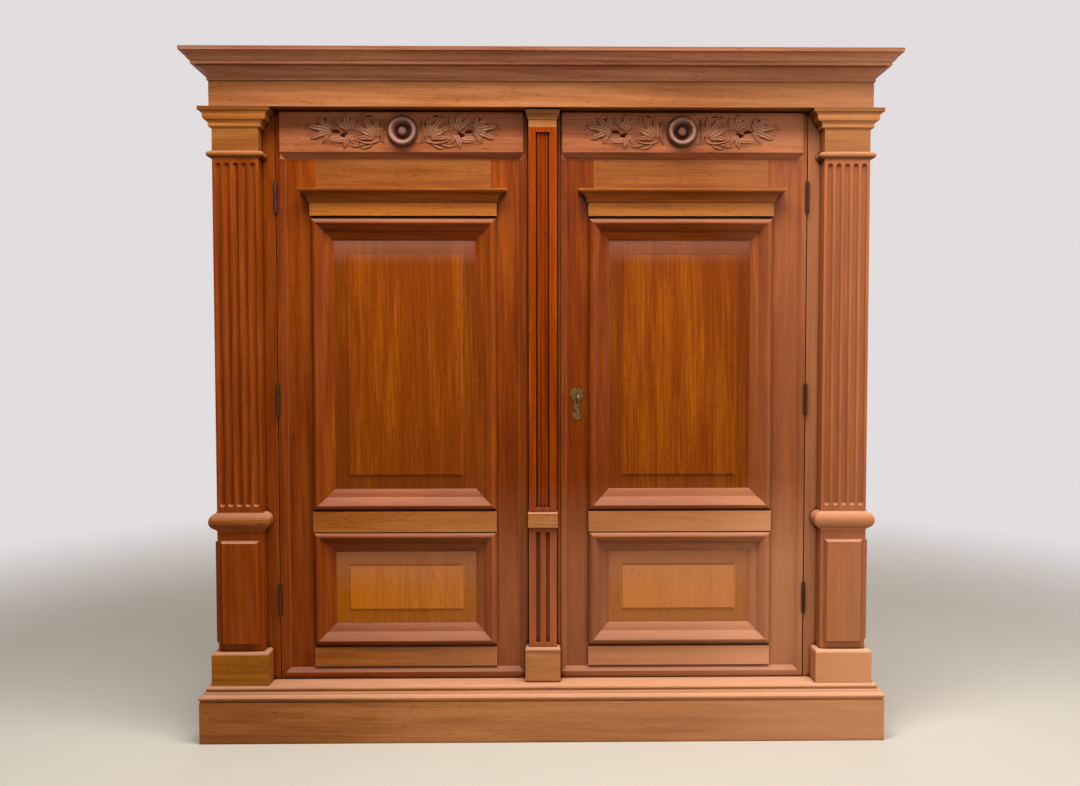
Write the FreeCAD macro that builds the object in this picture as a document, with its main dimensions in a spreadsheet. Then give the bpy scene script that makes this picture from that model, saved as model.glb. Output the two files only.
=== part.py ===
import FreeCAD, Part
import math
import os
import re
import Sketcher

# A wide two-door cabinet with fluted corner pilasters, a moulded plinth and a lift-off crown.
# Frame: +Z up, the front looks along -Y, +X to the viewer's right, millimetres.
# The origin is the middle of the footprint on the floor, under the middle of the whole box.

doc = FreeCAD.newDocument("Cabinet")
sheet = doc.addObject("Spreadsheet::Sheet", "Sizes")

# Driving sizes, one group per piece or family of pieces

SIZES = {
    "Whole cabinet": {
        "carcass_width": 1841,
        "face_depth": 452,
        "butt_gap": 3,
        "overrun": 5,
    },
    "Plinth": {
        "plinth_board_height": 117,
        "plinth_board_thickness": 22,
        "plinth_side_reach": 45,
        "plinth_front_reach": 73,
        "plinth_frame_height": 41,
        "plinth_plank_width": 134,
        "plinth_ledge_setback": 24,
        "plinth_back_plank_width": 60,
        "floor_thickness": 22,
    },
    "Corner posts and pilasters": {
        "post_width": 36,
        "post_depth": 60,
        "pilaster_width": 128,
        "pilaster_front": 36,
        "base_block_height": 94,
        "base_block_reach": 16,
        "pedestal_height": 344,
        "pedestal_panel_margin": 10,
        "pedestal_panel_rise": 11,
        "pedestal_panel_bevel": 6,
        "pedestal_panel_foot": 18,
        "pedestal_panel_head": 28,
        "torus_height": 54,
        "torus_side_reach": 21,
        "torus_front_reach": 13,
        "shaft_height": 992,
        "flute_count": 5,
        "flute_width": 17,
        "flute_depth": 6,
        "flute_spacing": 24,
        "flute_foot": 14,
        "flute_head": 12,
        "capital_height": 139,
        "capital_side_reach": 35,
        "capital_front_reach": 14,
    },
    "Sides and back": {
        "side_setback": 5,
        "side_thickness": 24,
        "side_stile_width": 80,
        "side_head_width": 90,
        "side_middle_width": 80,
        "side_foot_width": 100,
        "side_middle_height": 700,
        "side_panel_thickness": 10,
        "side_groove_depth": 8,
        "back_board_count": 6,
        "back_board_thickness": 12,
        "back_board_gap": 1,
    },
    "Top and crown": {
        "top_board_thickness": 22,
        "top_rail_height": 30,
        "top_rail_depth": 22,
        "fascia_front": 48,
        "fascia_side_reach": 3,
        "fascia_height": 70,
        "fascia_thickness": 22,
        "crown_height": 74,
        "crown_reach": 60,
        "crown_seat": 12,
        "lid_thickness": 12,
    },
    "Shelves": {
        "shelf_thickness": 20,
        "shelf_front_gap": 6,
        "shelf_play": 1,
        "shelf_first_level": 560,
        "shelf_spacing": 400,
        "cleat_section": 20,
    },
    "Doors": {
        "door_thickness": 22,
        "door_clearance": 3,
        "door_stop_clearance": 1,
        "bead_thickness": 9,
        "bead_face": 12,
        "bead_chamfer": 13,
        "bead_foot_face": 16,
        "meeting_bead_face": 3,
        "meeting_line": 52,
        "meeting_gap": 2,
        "hinge_stile_width": 110.5,
        "meeting_stile_width": 94,
        "foot_rail_height": 110,
        "lock_rail_height": 93,
        "head_rail_height": 312,
        "lower_opening_height": 298,
        "panel_thickness": 8,
        "panel_groove_depth": 8,
        "panel_back_wall": 4,
        "panel_shrinkage": 1,
        "field_rise": 3,
        "field_bevel": 6,
        "field_border": 36,
        "moulding_width": 61,
        "moulding_lap": 16,
        "moulding_rise": 16,
        "band_end_gap": 1,
        "lock_band_gap": 2,
        "band_rise": 12,
        "foot_band_low_gap": 4,
        "foot_band_high_gap": 6,
        "foot_band_rise": 6,
        "frieze_height": 130,
        "frieze_rise": 4,
        "entablature_height": 73,
        "entablature_lip": 0.5,
        "entablature_rise": 12,
        "entablature_reach": 28.5,
        "entablature_gap": 6,
    },
    "Rosettes": {
        "rosette_radius": 44.5,
        "rosette_rise": 18,
        "rosette_drop": 55,
    },
    "Centre pilaster": {
        "mullion_half_width": 39.3,
        "mullion_quirk": 3.6,
        "mullion_front": 25,
        "mullion_bar": 19.6,
        "mullion_recess": 8,
        "mullion_recess_margin": 14,
        "mullion_reed_radius": 5,
        "mullion_reed_sink": 2,
        "mullion_reed_spacing": 12,
        "mullion_foot_reed_radius": 13,
        "mullion_foot_block_height": 96,
        "mullion_foot_block_side": 10.7,
        "mullion_foot_block_front": 10,
        "mullion_foot_shaft_height": 345,
        "mullion_middle_block_height": 43,
        "mullion_middle_block_side": 3,
        "mullion_middle_block_front": 7,
        "mullion_cap_height": 46,
        "mullion_cap_side": 8,
        "mullion_cap_front": 10,
    },
    "Hinges": {
        "hinge_radius": 4.2,
        "hinge_forward": 4.8,
        "hinge_half_height": 45,
        "hinge_running_gap": 0.3,
        "hinge_pin_radius": 2.4,
        "hinge_pin_clearance": 0.05,
        "hinge_pin_height": 34,
        "hinge_leaf_thickness": 1.2,
        "hinge_leaf_depth": 24,
        "hinge_foot_margin": 229,
        "hinge_head_margin": 238,
    },
    "Lock and key": {
        "lock_level": 968,
        "lock_backset": 46,
        "lock_case_margin": 14,
        "lock_case_height": 90,
        "lock_case_thickness": 10,
        "lock_wall": 1.2,
        "lock_bolt_thickness": 3,
        "lock_bolt_height": 20,
        "lock_bolt_play": 7.6,
        "lock_bolt_throw": 10,
        "lock_clearance": 0.4,
        "key_radius": 3,
        "keyhole_clearance": 0.5,
        "key_reach": 44,
        "key_bit_length": 8,
        "key_bit_height": 3,
        "key_bit_thickness": 2.5,
        "key_pin_radius": 1.5,
        "key_pin_clearance": 0.05,
        "key_pin_length": 9,
        "key_collar_radius": 4.6,
        "key_collar_length": 4,
        "key_bow_radius": 11,
        "key_bow_wire": 2.3,
        "plate_thickness": 1.8,
        "plate_head_radius": 20,
        "plate_head_rise": 12,
        "plate_foot_radius": 13,
        "plate_foot_drop": 48,
        "plate_waist": 17,
    },
    "Bolts of the left door": {
        "rod_radius": 4,
        "rod_clearance": 0.35,
        "rod_length": 200,
        "rod_throw": 15,
        "rod_place": 20,
        "rod_end_gap": 1,
        "keeper_clearance": 1,
        "knob_radius": 5,
        "knob_length": 6,
        "knob_stem_radius": 2.5,
        "knob_stand_off": 3,
        "knob_place": 40,
    },
}

# Places that follow from the driving sizes

DERIVED = {
    "face_y": "(fascia_front + crown_reach - face_depth) / 2",
    "back_y": "(fascia_front + crown_reach + face_depth) / 2",
    "half_width": "carcass_width / 2",
    "plinth_half": "half_width + plinth_side_reach",
    "plinth_y": "face_y - plinth_front_reach",
    "plinth_top": "plinth_board_height + plinth_frame_height",
    "floor_top": "plinth_top + floor_thickness",
    "pilaster_inner": "half_width - pilaster_width",
    "post_inner": "pilaster_inner - post_width",
    "pilaster_y": "face_y - pilaster_front",
    "post_back_y": "face_y + post_depth",
    "pedestal_foot": "plinth_top + base_block_height",
    "torus_foot": "pedestal_foot + pedestal_height",
    "shaft_foot": "torus_foot + torus_height",
    "capital_foot": "shaft_foot + shaft_height",
    "flute_radius": "(flute_width ^ 2 / 4 + flute_depth ^ 2) / (2 * flute_depth)",
    "body_top": "capital_foot + capital_height",
    "side_outer": "half_width - side_setback",
    "side_inner": "side_outer - side_thickness",
    "back_board_y": "back_y - back_board_thickness",
    "fascia_half": "half_width + fascia_side_reach",
    "fascia_y": "face_y - fascia_front",
    "crown_foot": "body_top + fascia_height",
    "door_foot": "plinth_top + door_clearance",
    "door_head": "body_top - door_clearance",
    "door_height": "door_head - door_foot",
    "door_outer": "post_inner - butt_gap",
    "door_front_y": "face_y + bead_thickness",
    "door_back_y": "door_front_y + door_thickness",
    "stop_y": "door_back_y + door_stop_clearance",
    "right_meeting": "meeting_line + meeting_gap / 2",
    "left_meeting": "meeting_line - meeting_gap / 2",
    "opening_inner": "right_meeting + meeting_stile_width",
    "opening_outer": "door_outer - hinge_stile_width",
    "opening_width": "opening_outer - opening_inner",
    "panel_centre": "(opening_inner + opening_outer) / 2",
    "lower_opening_foot": "door_foot + foot_rail_height",
    "lower_opening_head": "lower_opening_foot + lower_opening_height",
    "upper_opening_foot": "lower_opening_head + lock_rail_height",
    "upper_opening_head": "door_head - head_rail_height",
    "groove_back_y": "door_back_y - panel_back_wall",
    "groove_front_y": "groove_back_y - panel_thickness",
    "band_half_width": "opening_width / 2 + moulding_lap - band_end_gap",
    "lock_band_level": "lower_opening_head + moulding_lap",
    "lock_band_head": "upper_opening_foot - moulding_lap - lock_band_gap",
    "foot_band_level": "door_foot + bead_foot_face + bead_chamfer + foot_band_low_gap",
    "foot_band_head": "lower_opening_foot - moulding_lap - foot_band_high_gap",
    "entablature_half_width": "opening_width / 2 + moulding_lap + entablature_lip",
    "entablature_level": "upper_opening_head + moulding_lap + entablature_gap",
    "frieze_foot": "door_head - frieze_height",
    "frieze_y": "face_y - frieze_rise",
    "rosette_level": "door_head - rosette_drop",
    "mullion_y": "face_y - mullion_front",
    "mullion_recess_half": "mullion_half_width - mullion_bar",
    "mullion_foot_shaft": "door_foot + mullion_foot_block_height",
    "mullion_middle_block": "mullion_foot_shaft + mullion_foot_shaft_height",
    "mullion_shaft": "mullion_middle_block + mullion_middle_block_height",
    "mullion_cap": "door_head - mullion_cap_height",
    "hinge_x": "post_inner - butt_gap / 2",
    "hinge_y": "face_y - hinge_forward",
    "hinge_first_level": "door_foot + hinge_foot_margin",
    "hinge_spacing": "(door_height - hinge_foot_margin - hinge_head_margin) / 2",
    "lock_case_width": "meeting_stile_width - lock_case_margin",
    "lock_bolt_length": "lock_case_width - 2 * lock_wall - lock_bolt_play",
    "key_x": "right_meeting + lock_backset",
    "lock_pocket_y": "door_back_y - lock_case_thickness",
    "lock_hollow_y": "lock_pocket_y + lock_wall",
    "lock_bolt_y": "door_back_y - lock_wall - lock_clearance - lock_bolt_thickness",
    "key_tip_y": "lock_bolt_y - lock_clearance",
    "rod_y": "door_front_y + door_thickness / 2",
}

row = 1
for group, sizes in SIZES.items():
    sheet.set(f"A{row}", group)
    row += 1
    for name, size in sizes.items():
        sheet.set(f"A{row}", name)
        sheet.set(f"B{row}", str(size))
        sheet.setAlias(f"B{row}", name)
        row += 1
sheet.set(f"A{row}", "Places that follow")
row += 1
for name, formula in DERIVED.items():
    sheet.set(f"A{row}", name)
    sheet.set(f"B{row}", "=" + formula)
    sheet.setAlias(f"B{row}", name)
    row += 1
doc.recompute()

V = {name: float(sheet.get(name)) for group in SIZES.values() for name in group}
V.update({name: float(sheet.get(name)) for name in DERIVED})

# Small helpers for features that follow the sheet

nodes = {}


def from_sheet(text):
    return re.sub(r"[a-z]\w*", lambda word: "Sizes." + word.group(0), text)


def bind(feature, settings):
    for prop, text in settings.items():
        feature.setExpression(prop, from_sheet(text))


def keep(label, feature):
    feature.Label = label
    nodes[label] = feature
    return feature


def box(name, x, y, z):
    # Each of x, y and z is a pair of formulas: the start and the size.
    feature = doc.addObject("Part::Box", name)
    bind(feature, {
        "Length": x[1], "Width": y[1], "Height": z[1],
        "Placement.Base.x": x[0], "Placement.Base.y": y[0], "Placement.Base.z": z[0],
    })
    return feature


def span(start, end):
    return start, f"({end}) - ({start})"


def rod(name, radius, length, x, y, z, along="Z"):
    feature = doc.addObject("Part::Cylinder", name)
    turns = {
        "X": FreeCAD.Rotation(FreeCAD.Vector(0, 1, 0), 90),
        "Y": FreeCAD.Rotation(FreeCAD.Vector(1, 0, 0), -90),
        "Z": FreeCAD.Rotation(),
    }
    feature.Placement = FreeCAD.Placement(FreeCAD.Vector(), turns[along])
    bind(feature, {
        "Radius": radius, "Height": length,
        "Placement.Base.x": x, "Placement.Base.y": y, "Placement.Base.z": z,
    })
    return feature


def ball(name, radius, x, y, z):
    feature = doc.addObject("Part::Sphere", name)
    bind(feature, {
        "Radius": radius, "Placement.Base.x": x, "Placement.Base.y": y, "Placement.Base.z": z,
    })
    return feature


def fuse(name, parts):
    feature = doc.addObject("Part::MultiFuse", name)
    feature.Shapes = parts
    return feature


def cut(name, base, tools):
    feature = doc.addObject("Part::Cut", name)
    feature.Base = base
    feature.Tool = tools[0] if len(tools) == 1 else fuse(name + "_tools", tools)
    return feature


def group(name, parts):
    feature = doc.addObject("Part::Compound", name)
    feature.Links = parts
    return feature


def mirror(name, source):
    feature = doc.addObject("Part::Mirroring", name)
    feature.Source = source
    feature.Base = FreeCAD.Vector()
    feature.Normal = FreeCAD.Vector(1, 0, 0)
    return feature


def solid(name, shape):
    feature = doc.addObject("Part::Feature", name)
    feature.Shape = shape
    feature.Placement = FreeCAD.Placement()
    return feature


def outline(body, name, plane, points, lift="0"):
    # A closed outline on one of the body's own origin planes, each corner held by the sheet.
    sketch = body.newObject("Sketcher::SketchObject", name)
    support = next(item for item in body.Origin.OriginFeatures if item.Role == plane)
    sketch.AttachmentSupport = [(support, "")]
    sketch.MapMode = "FlatFace"
    bind(sketch, {".AttachmentOffset.Base.z": lift})
    count = len(points)
    corners = [
        FreeCAD.Vector(math.cos(math.tau * index / count), math.sin(math.tau * index / count), 0)
        for index in range(count)
    ]
    for index in range(count):
        sketch.addGeometry(Part.LineSegment(corners[index], corners[(index + 1) % count]))
    for index in range(count):
        sketch.addConstraint(Sketcher.Constraint("Coincident", index, 2, (index + 1) % count, 1))
    for index, (across, up) in enumerate(points):
        for kind, text, guess in (
            ("DistanceX", across, corners[index].x), ("DistanceY", up, corners[index].y)
        ):
            place = sketch.addConstraint(Sketcher.Constraint(kind, -1, 1, index, 1, guess))
            label = f"{kind}{index}"
            sketch.renameConstraint(place, label)
            bind(sketch, {f"Constraints.{label}": text})
    return sketch


def rectangle(low_x, high_x, low_z, high_z):
    return [(low_x, low_z), (high_x, low_z), (high_x, high_z), (low_x, high_z)]


# Moulded profiles. A step of two shares is a straight line to (height, reach).
# A step of four shares is an arc through the first pair to the second.

PLINTH_SHARES = [
    (0, -0.10), (0.10, -0.10), (0.16, -0.06, 0.20, 0.06), (0.30, 0.06), (0.41, -0.10, 0.48, -0.45),
    (0.56, -0.50), (0.66, -0.67, 0.78, -0.585), (0.9355, -0.694, 1, -0.96), (1, -1),
]
BASE_BLOCK_SHARES = [(0, 1), (0.91, 1), (0.965, 0.88, 1, 0.55)]
TORUS_SHARES = [(0, 0.1), (0.05, 0.1), (0.5, 1, 0.95, 0.1), (1, 0.1)]
CAPITAL_SHARES = [
    (0, 0.1), (0.01, 0.1), (0.07, 0.43, 0.13, 0.1), (0.145, 0), (0.575, 0), (0.60, 0.12),
    (0.64, 0.27, 0.675, 0.22), (0.70, 0.30, 0.745, 0.38), (0.75, 0.55), (0.81, 0.66, 0.855, 0.66),
    (0.88, 0.72, 0.925, 0.93), (0.93, 1), (1, 1),
]
CROWN_SHARES = [
    (0, 0.06), (0.06, 0.06), (0.30, 0.13, 0.43, 0.42), (0.47, 0.42), (0.47, 0.60), (0.58, 0.60),
    (0.63, 0.71, 0.72, 0.755), (0.81, 0.80, 0.865, 0.93), (0.865, 1), (1, 1),
]
ENTABLATURE_SHARES = [
    (0, 0), (0.50, 0), (0.53, 0.14), (0.58, 0.16), (0.76, 0.34, 0.87, 0.84), (0.90, 0.88), (0.92, 1),
    (1, 1),
]
MULLION_CAP_SHARES = [(0, 0), (0.40, 0), (0.46, 0.22), (0.60, 0.34, 0.74, 0.80), (0.78, 1), (1, 1)]
MULLION_BLOCK_SHARES = [(0, 1), (0.87, 1), (0.965, 0.86, 1, 0.35)]

# The panel moulding, seen in section: shares of its width from the outer edge and of its rise
# above the door's face. Its inner part reaches back to the panel.

PANEL_MOULDING_SHARES = [
    (0, 0), (0, 0.12), (0.075, 0.72, 0.25, 1), (0.43, 0.62, 0.60, 0.14), (0.62, 0.02),
    (0.82, -0.23, 1, -0.56),
]


def traced(shares, place):
    # Lines and arcs along a profile, from its first share to its last.
    edges = []
    here = place(*shares[0])
    for step in shares[1:]:
        there = place(*step[-2:])
        if len(step) == 2:
            edges.append(Part.LineSegment(here, there).toShape())
        else:
            edges.append(Part.Arc(here, place(*step[:2]), there).toShape())
        here = there
    return edges


def joined(edges, corners):
    # Closes a run of edges with straight lines through the corners.
    for here, there in zip(corners, corners[1:]):
        if here.distanceToPoint(there) > 0:
            edges.append(Part.LineSegment(here, there).toShape())
    return Part.Face(Part.Wire(Part.__sortEdges__(edges)))


def moulded_block(x, y, z, shares, side_reach, front_reach):
    # A block whose front and two sides follow one profile, mitred at its corners.
    # x, y and z are the plain core that the profile stands out from.
    low, high = z
    rise = high - low

    def on_right(up, out):
        return FreeCAD.Vector(x[1] + out * side_reach, y[0] - front_reach - V["overrun"], low + up * rise)

    def on_left(up, out):
        return FreeCAD.Vector(x[0] - out * side_reach, y[0] - front_reach - V["overrun"], low + up * rise)

    def on_front(up, out):
        return FreeCAD.Vector(x[0] - side_reach - V["overrun"], y[0] - out * front_reach, low + up * rise)

    first, last = shares[0][-2:], shares[-1][-2:]
    edges = traced(shares, on_right) + traced(shares, on_left)
    edges.append(Part.LineSegment(on_right(*last), on_left(*last)).toShape())
    edges.append(Part.LineSegment(on_right(*first), on_left(*first)).toShape())
    seen_from_front = Part.Face(Part.Wire(Part.__sortEdges__(edges)))
    depth = y[1] - y[0] + front_reach + V["overrun"]
    across = seen_from_front.extrude(FreeCAD.Vector(0, depth, 0))
    back_high = on_front(*last)
    back_high.y = y[1]
    back_low = on_front(*first)
    back_low.y = y[1]
    corners = [on_front(*last), back_high, back_low, on_front(*first)]
    seen_from_side = joined(traced(shares, on_front), corners)
    width = x[1] - x[0] + 2 * (side_reach + V["overrun"])
    return seen_from_side.extrude(FreeCAD.Vector(width, 0, 0)).common(across)


def plain_box(x, y, z):
    return Part.makeBox(x[1] - x[0], y[1] - y[0], z[1] - z[0], FreeCAD.Vector(x[0], y[0], z[0]))


def prism(points, depth):
    wire = Part.makePolygon(points + points[:1])
    return Part.Face(wire).extrude(depth)


def tapered(near, far):
    # A solid with flat faces between two outlines that have the same number of corners.
    loops = [near, far]
    for index in range(len(near)):
        after = (index + 1) % len(near)
        loops.append([near[index], near[after], far[after], far[index]])
    faces = [Part.Face(Part.makePolygon(points + points[:1])) for points in loops]
    shape = Part.makeSolid(Part.makeShell(faces))
    if shape.Volume < 0:
        shape.reverse()
    return shape


def mitre_wedge(x, y, z, width):
    # The ground that the front strip of a mitred surround takes.
    points = [
        FreeCAD.Vector(x[0], y, z[0]), FreeCAD.Vector(x[1], y, z[0]),
        FreeCAD.Vector(x[1] - width, y + width, z[0]), FreeCAD.Vector(x[0] + width, y + width, z[0]),
    ]
    return prism(points, FreeCAD.Vector(0, 0, z[1] - z[0]))


def surround(x, y, z, shares, reach, nose, seat):
    # Front and side strips with one profile, mitred at the front corners and open behind.
    whole = moulded_block(x, y, z, shares, reach, reach)
    hollow = plain_box(
        (x[0] + seat, x[1] - seat), (y[0] + seat, y[1] + V["overrun"]),
        (z[0] - V["overrun"], z[1] + V["overrun"]),
    )
    ring = whole.cut(hollow)
    wedge = mitre_wedge(
        (x[0] - nose, x[1] + nose), y[0] - nose, (z[0] - V["overrun"], z[1] + V["overrun"]), nose + seat
    )
    return [ring.common(wedge), ring.cut(wedge)]


def each_solid(shapes):
    return Part.makeCompound([piece for shape in shapes for piece in shape.Solids])


# Plinth: four boards on the floor and a frame of flat planks with a moulded edge

both_ways = ("-plinth_half", "2 * plinth_half")
keep("plinth_front_board", box(
    "PlinthFront", both_ways, ("plinth_y", "plinth_board_thickness"), ("0", "plinth_board_height")
))
plinth_behind = span("plinth_y + plinth_board_thickness", "back_y")
plinth_right = box(
    "PlinthRight", ("plinth_half - plinth_board_thickness", "plinth_board_thickness"), plinth_behind,
    ("0", "plinth_board_height"),
)
keep("plinth_side_boards", group("PlinthSides", [plinth_right, mirror("PlinthLeft", plinth_right)]))
keep("plinth_back_board", box(
    "PlinthBack",
    ("plinth_board_thickness - plinth_half", "2 * (plinth_half - plinth_board_thickness)"),
    ("back_y - plinth_board_thickness", "plinth_board_thickness"), ("0", "plinth_board_height"),
))

plinth_planks = surround(
    (-V["plinth_half"], V["plinth_half"]), (V["plinth_y"], V["back_y"]),
    (V["plinth_board_height"], V["plinth_top"]), PLINTH_SHARES, V["plinth_ledge_setback"],
    max(step[-1] for step in PLINTH_SHARES) * V["plinth_ledge_setback"], V["plinth_plank_width"],
)
keeper_below = Part.makeCylinder(
    V["rod_radius"] + V["keeper_clearance"], V["rod_throw"] + V["overrun"],
    FreeCAD.Vector(V["rod_place"], V["rod_y"], V["plinth_top"] - V["rod_throw"]),
)
back_plank_half = V["plinth_half"] - V["plinth_plank_width"]
plinth_back_plank = plain_box(
    (-back_plank_half, back_plank_half), (V["back_y"] - V["plinth_back_plank_width"], V["back_y"]),
    (V["plinth_board_height"], V["plinth_top"]),
)
keep("plinth_frame", solid("PlinthFrame", each_solid(
    [plinth_planks[0].cut(keeper_below), plinth_planks[1], plinth_back_plank]
)))

# Floor board, notched round the corner posts and pilasters; its front edge stops the doors

floor_blank = box(
    "FloorBlank", ("-side_inner", "2 * side_inner"), span("stop_y", "back_board_y"),
    ("plinth_top", "floor_thickness"),
)
floor_notch = box(
    "FloorNotch", span("post_inner", "half_width"), span("face_y", "post_back_y"),
    ("plinth_top - overrun", "floor_thickness + 2 * overrun"),
)
keep("floor_board", cut("Floor", floor_blank, [floor_notch, mirror("FloorNotchLeft", floor_notch)]))

# Corner posts: their front faces are the plain strips between the pilasters and the doors

right_post = keep("right_corner_post", box(
    "RightPost", ("post_inner", "post_width"), ("face_y", "post_depth"), span("plinth_top", "body_top")
))
keep("left_corner_post", mirror("LeftPost", right_post))

# The stack of each pilaster: base block, pedestal, torus, fluted shaft and capital

post_ground = plain_box(
    (V["post_inner"], V["pilaster_inner"]), (V["face_y"], V["post_back_y"]),
    (V["plinth_top"], V["body_top"]),
)


def pilaster_block(label, foot, height, shares, side_reach, front_reach):
    block = moulded_block(
        (V["pilaster_inner"], V["half_width"]), (V["pilaster_y"], V["post_back_y"]),
        (V[foot], V[foot] + V[height]), shares, V[side_reach], V[front_reach],
    )
    right = keep("right_" + label, solid("Right" + label, block.cut(post_ground)))
    keep("left_" + label, mirror("Left" + label, right))


pilaster_block(
    "base_block", "plinth_top", "base_block_height", BASE_BLOCK_SHARES, "base_block_reach",
    "base_block_reach",
)
pilaster_block(
    "torus", "torus_foot", "torus_height", TORUS_SHARES, "torus_side_reach", "torus_front_reach"
)
pilaster_block(
    "capital", "capital_foot", "capital_height", CAPITAL_SHARES, "capital_side_reach",
    "capital_front_reach",
)

pedestal_levels = span("pedestal_foot", "torus_foot")
pedestal_core = box(
    "PedestalCore", ("pilaster_inner", "pilaster_width"), span("pilaster_y", "post_back_y"),
    pedestal_levels,
)


def raised_field(base, out, bevel):
    # A bevelled field standing out from a flat face; base is two corners of its foot.
    low, high = base
    normal = FreeCAD.Vector(out).normalize()
    foot, head = [], []
    for across, up in ((0, 0), (1, 0), (1, 1), (0, 1)):
        corner = FreeCAD.Vector(
            high.x if across else low.x, high.y if across else low.y, high.z if up else low.z
        )
        inward = FreeCAD.Vector(
            bevel * (1 - 2 * across) * (1 - abs(normal.x)),
            bevel * (1 - 2 * across) * (1 - abs(normal.y)), bevel * (1 - 2 * up),
        )
        foot.append(corner)
        head.append(corner + inward + out)
    return tapered(foot, head)


panel_levels = (
    V["pedestal_foot"] + V["pedestal_panel_foot"], V["torus_foot"] - V["pedestal_panel_head"]
)
pedestal_front_field = solid("PedestalFrontField", raised_field(
    (
        FreeCAD.Vector(V["pilaster_inner"] + V["pedestal_panel_margin"], V["pilaster_y"], panel_levels[0]),
        FreeCAD.Vector(V["half_width"] - V["pedestal_panel_margin"], V["pilaster_y"], panel_levels[1]),
    ),
    FreeCAD.Vector(0, -V["pedestal_panel_rise"], 0), V["pedestal_panel_bevel"],
))
pedestal_side_field = solid("PedestalSideField", raised_field(
    (
        FreeCAD.Vector(V["half_width"], V["pilaster_y"] + V["pedestal_panel_margin"], panel_levels[0]),
        FreeCAD.Vector(V["half_width"], V["post_back_y"] - V["pedestal_panel_margin"], panel_levels[1]),
    ),
    FreeCAD.Vector(V["pedestal_panel_rise"], 0, 0), V["pedestal_panel_bevel"],
))
right_pedestal = keep("right_pedestal", fuse(
    "RightPedestal", [pedestal_core, pedestal_front_field, pedestal_side_field]
))
keep("left_pedestal", mirror("LeftPedestal", right_pedestal))

# Fluted shaft: a squared timber with round-ended flutes in its front face

shaft_blank = box(
    "ShaftBlank", ("pilaster_inner", "pilaster_width"), span("pilaster_y", "post_back_y"),
    ("shaft_foot", "shaft_height"),
)
flute_tools = []
for index in range(int(V["flute_count"])):
    place = f"pilaster_inner + pilaster_width / 2 + flute_spacing * ({index} - (flute_count - 1) / 2)"
    flute_y = "pilaster_y + flute_depth - flute_radius"
    low_end = "shaft_foot + flute_foot + flute_radius"
    high_end = "capital_foot - flute_head - flute_radius"
    flute_tools += [
        rod(f"Flute{index + 1}", "flute_radius", span(low_end, high_end)[1], place, flute_y, low_end),
        ball(f"FluteFoot{index + 1}", "flute_radius", place, flute_y, low_end),
        ball(f"FluteHead{index + 1}", "flute_radius", place, flute_y, high_end),
    ]
right_shaft = keep("right_fluted_shaft", cut("RightShaft", shaft_blank, flute_tools))
keep("left_fluted_shaft", mirror("LeftShaft", right_shaft))

# Sides: a frame with grooves and two flat panels

side_blank = box(
    "SideBlank", ("side_inner", "side_thickness"), span("post_back_y", "back_y"),
    span("plinth_top", "body_top"),
)
side_across = span("post_back_y + side_stile_width", "back_y - side_stile_width")
side_lower = ("plinth_top + side_foot_width", "side_middle_height")
side_lower_size = "side_middle_height - plinth_top - side_foot_width"
side_upper = "side_middle_height + side_middle_width"
side_upper_size = "body_top - side_head_width - (side_middle_height + side_middle_width)"
side_windows = []
side_panel_boxes = []
groove_x = ("side_inner + (side_thickness - side_panel_thickness) / 2", "side_panel_thickness")
groove_y = (
    f"{side_across[0]} - side_groove_depth", f"{side_across[1]} + 2 * side_groove_depth"
)
for place, foot, size in (
    ("Lower", side_lower[0], side_lower_size), ("Upper", side_upper, side_upper_size)
):
    side_windows.append(box(
        f"Side{place}Window", ("side_inner - overrun", "side_thickness + 2 * overrun"), side_across,
        (foot, size),
    ))
    groove_z = (f"{foot} - side_groove_depth", f"{size} + 2 * side_groove_depth")
    side_windows.append(box(f"Side{place}Groove", groove_x, groove_y, groove_z))
    side_panel_boxes.append(box(f"Side{place}Panel", groove_x, groove_y, groove_z))
right_side = keep("right_side_frame", cut("RightSide", side_blank, side_windows))
keep("left_side_frame", mirror("LeftSide", right_side))
keep("side_panels", group("SidePanels", side_panel_boxes + [
    mirror(panel.Name + "Left", panel) for panel in side_panel_boxes
]))

# Back: upright boards between the side frames

back_pitch = "(2 * side_inner + back_board_gap) / back_board_count"
keep("back_boards", group("BackBoards", [
    box(
        f"BackBoard{index + 1}", (f"{index} * {back_pitch} - side_inner", f"{back_pitch} - back_board_gap"),
        ("back_board_y", "back_board_thickness"), span("plinth_top", "body_top"),
    )
    for index in range(int(V["back_board_count"]))
]))

# Top board, with the hole that takes the upper bolt, and the rail that stops the doors

fascia_inner = "fascia_half - fascia_thickness"
top_blank = box(
    "TopBlank", (f"-({fascia_inner})", f"2 * ({fascia_inner})"),
    span("fascia_y + fascia_thickness", "back_y - fascia_thickness"),
    ("body_top", "top_board_thickness"),
)
keeper_above = rod(
    "KeeperAbove", "rod_radius + keeper_clearance", "top_board_thickness + 2 * overrun", "rod_place",
    "rod_y", "body_top - overrun",
)
keep("top_board", cut("TopBoard", top_blank, [keeper_above]))
keep("top_rail", box(
    "TopRail", ("-post_inner", "2 * post_inner"), ("stop_y", "top_rail_depth"),
    ("body_top - top_rail_height", "top_rail_height"),
))

# Crown: a frame of four boards, the moulding on it and a sunk lid

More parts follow.
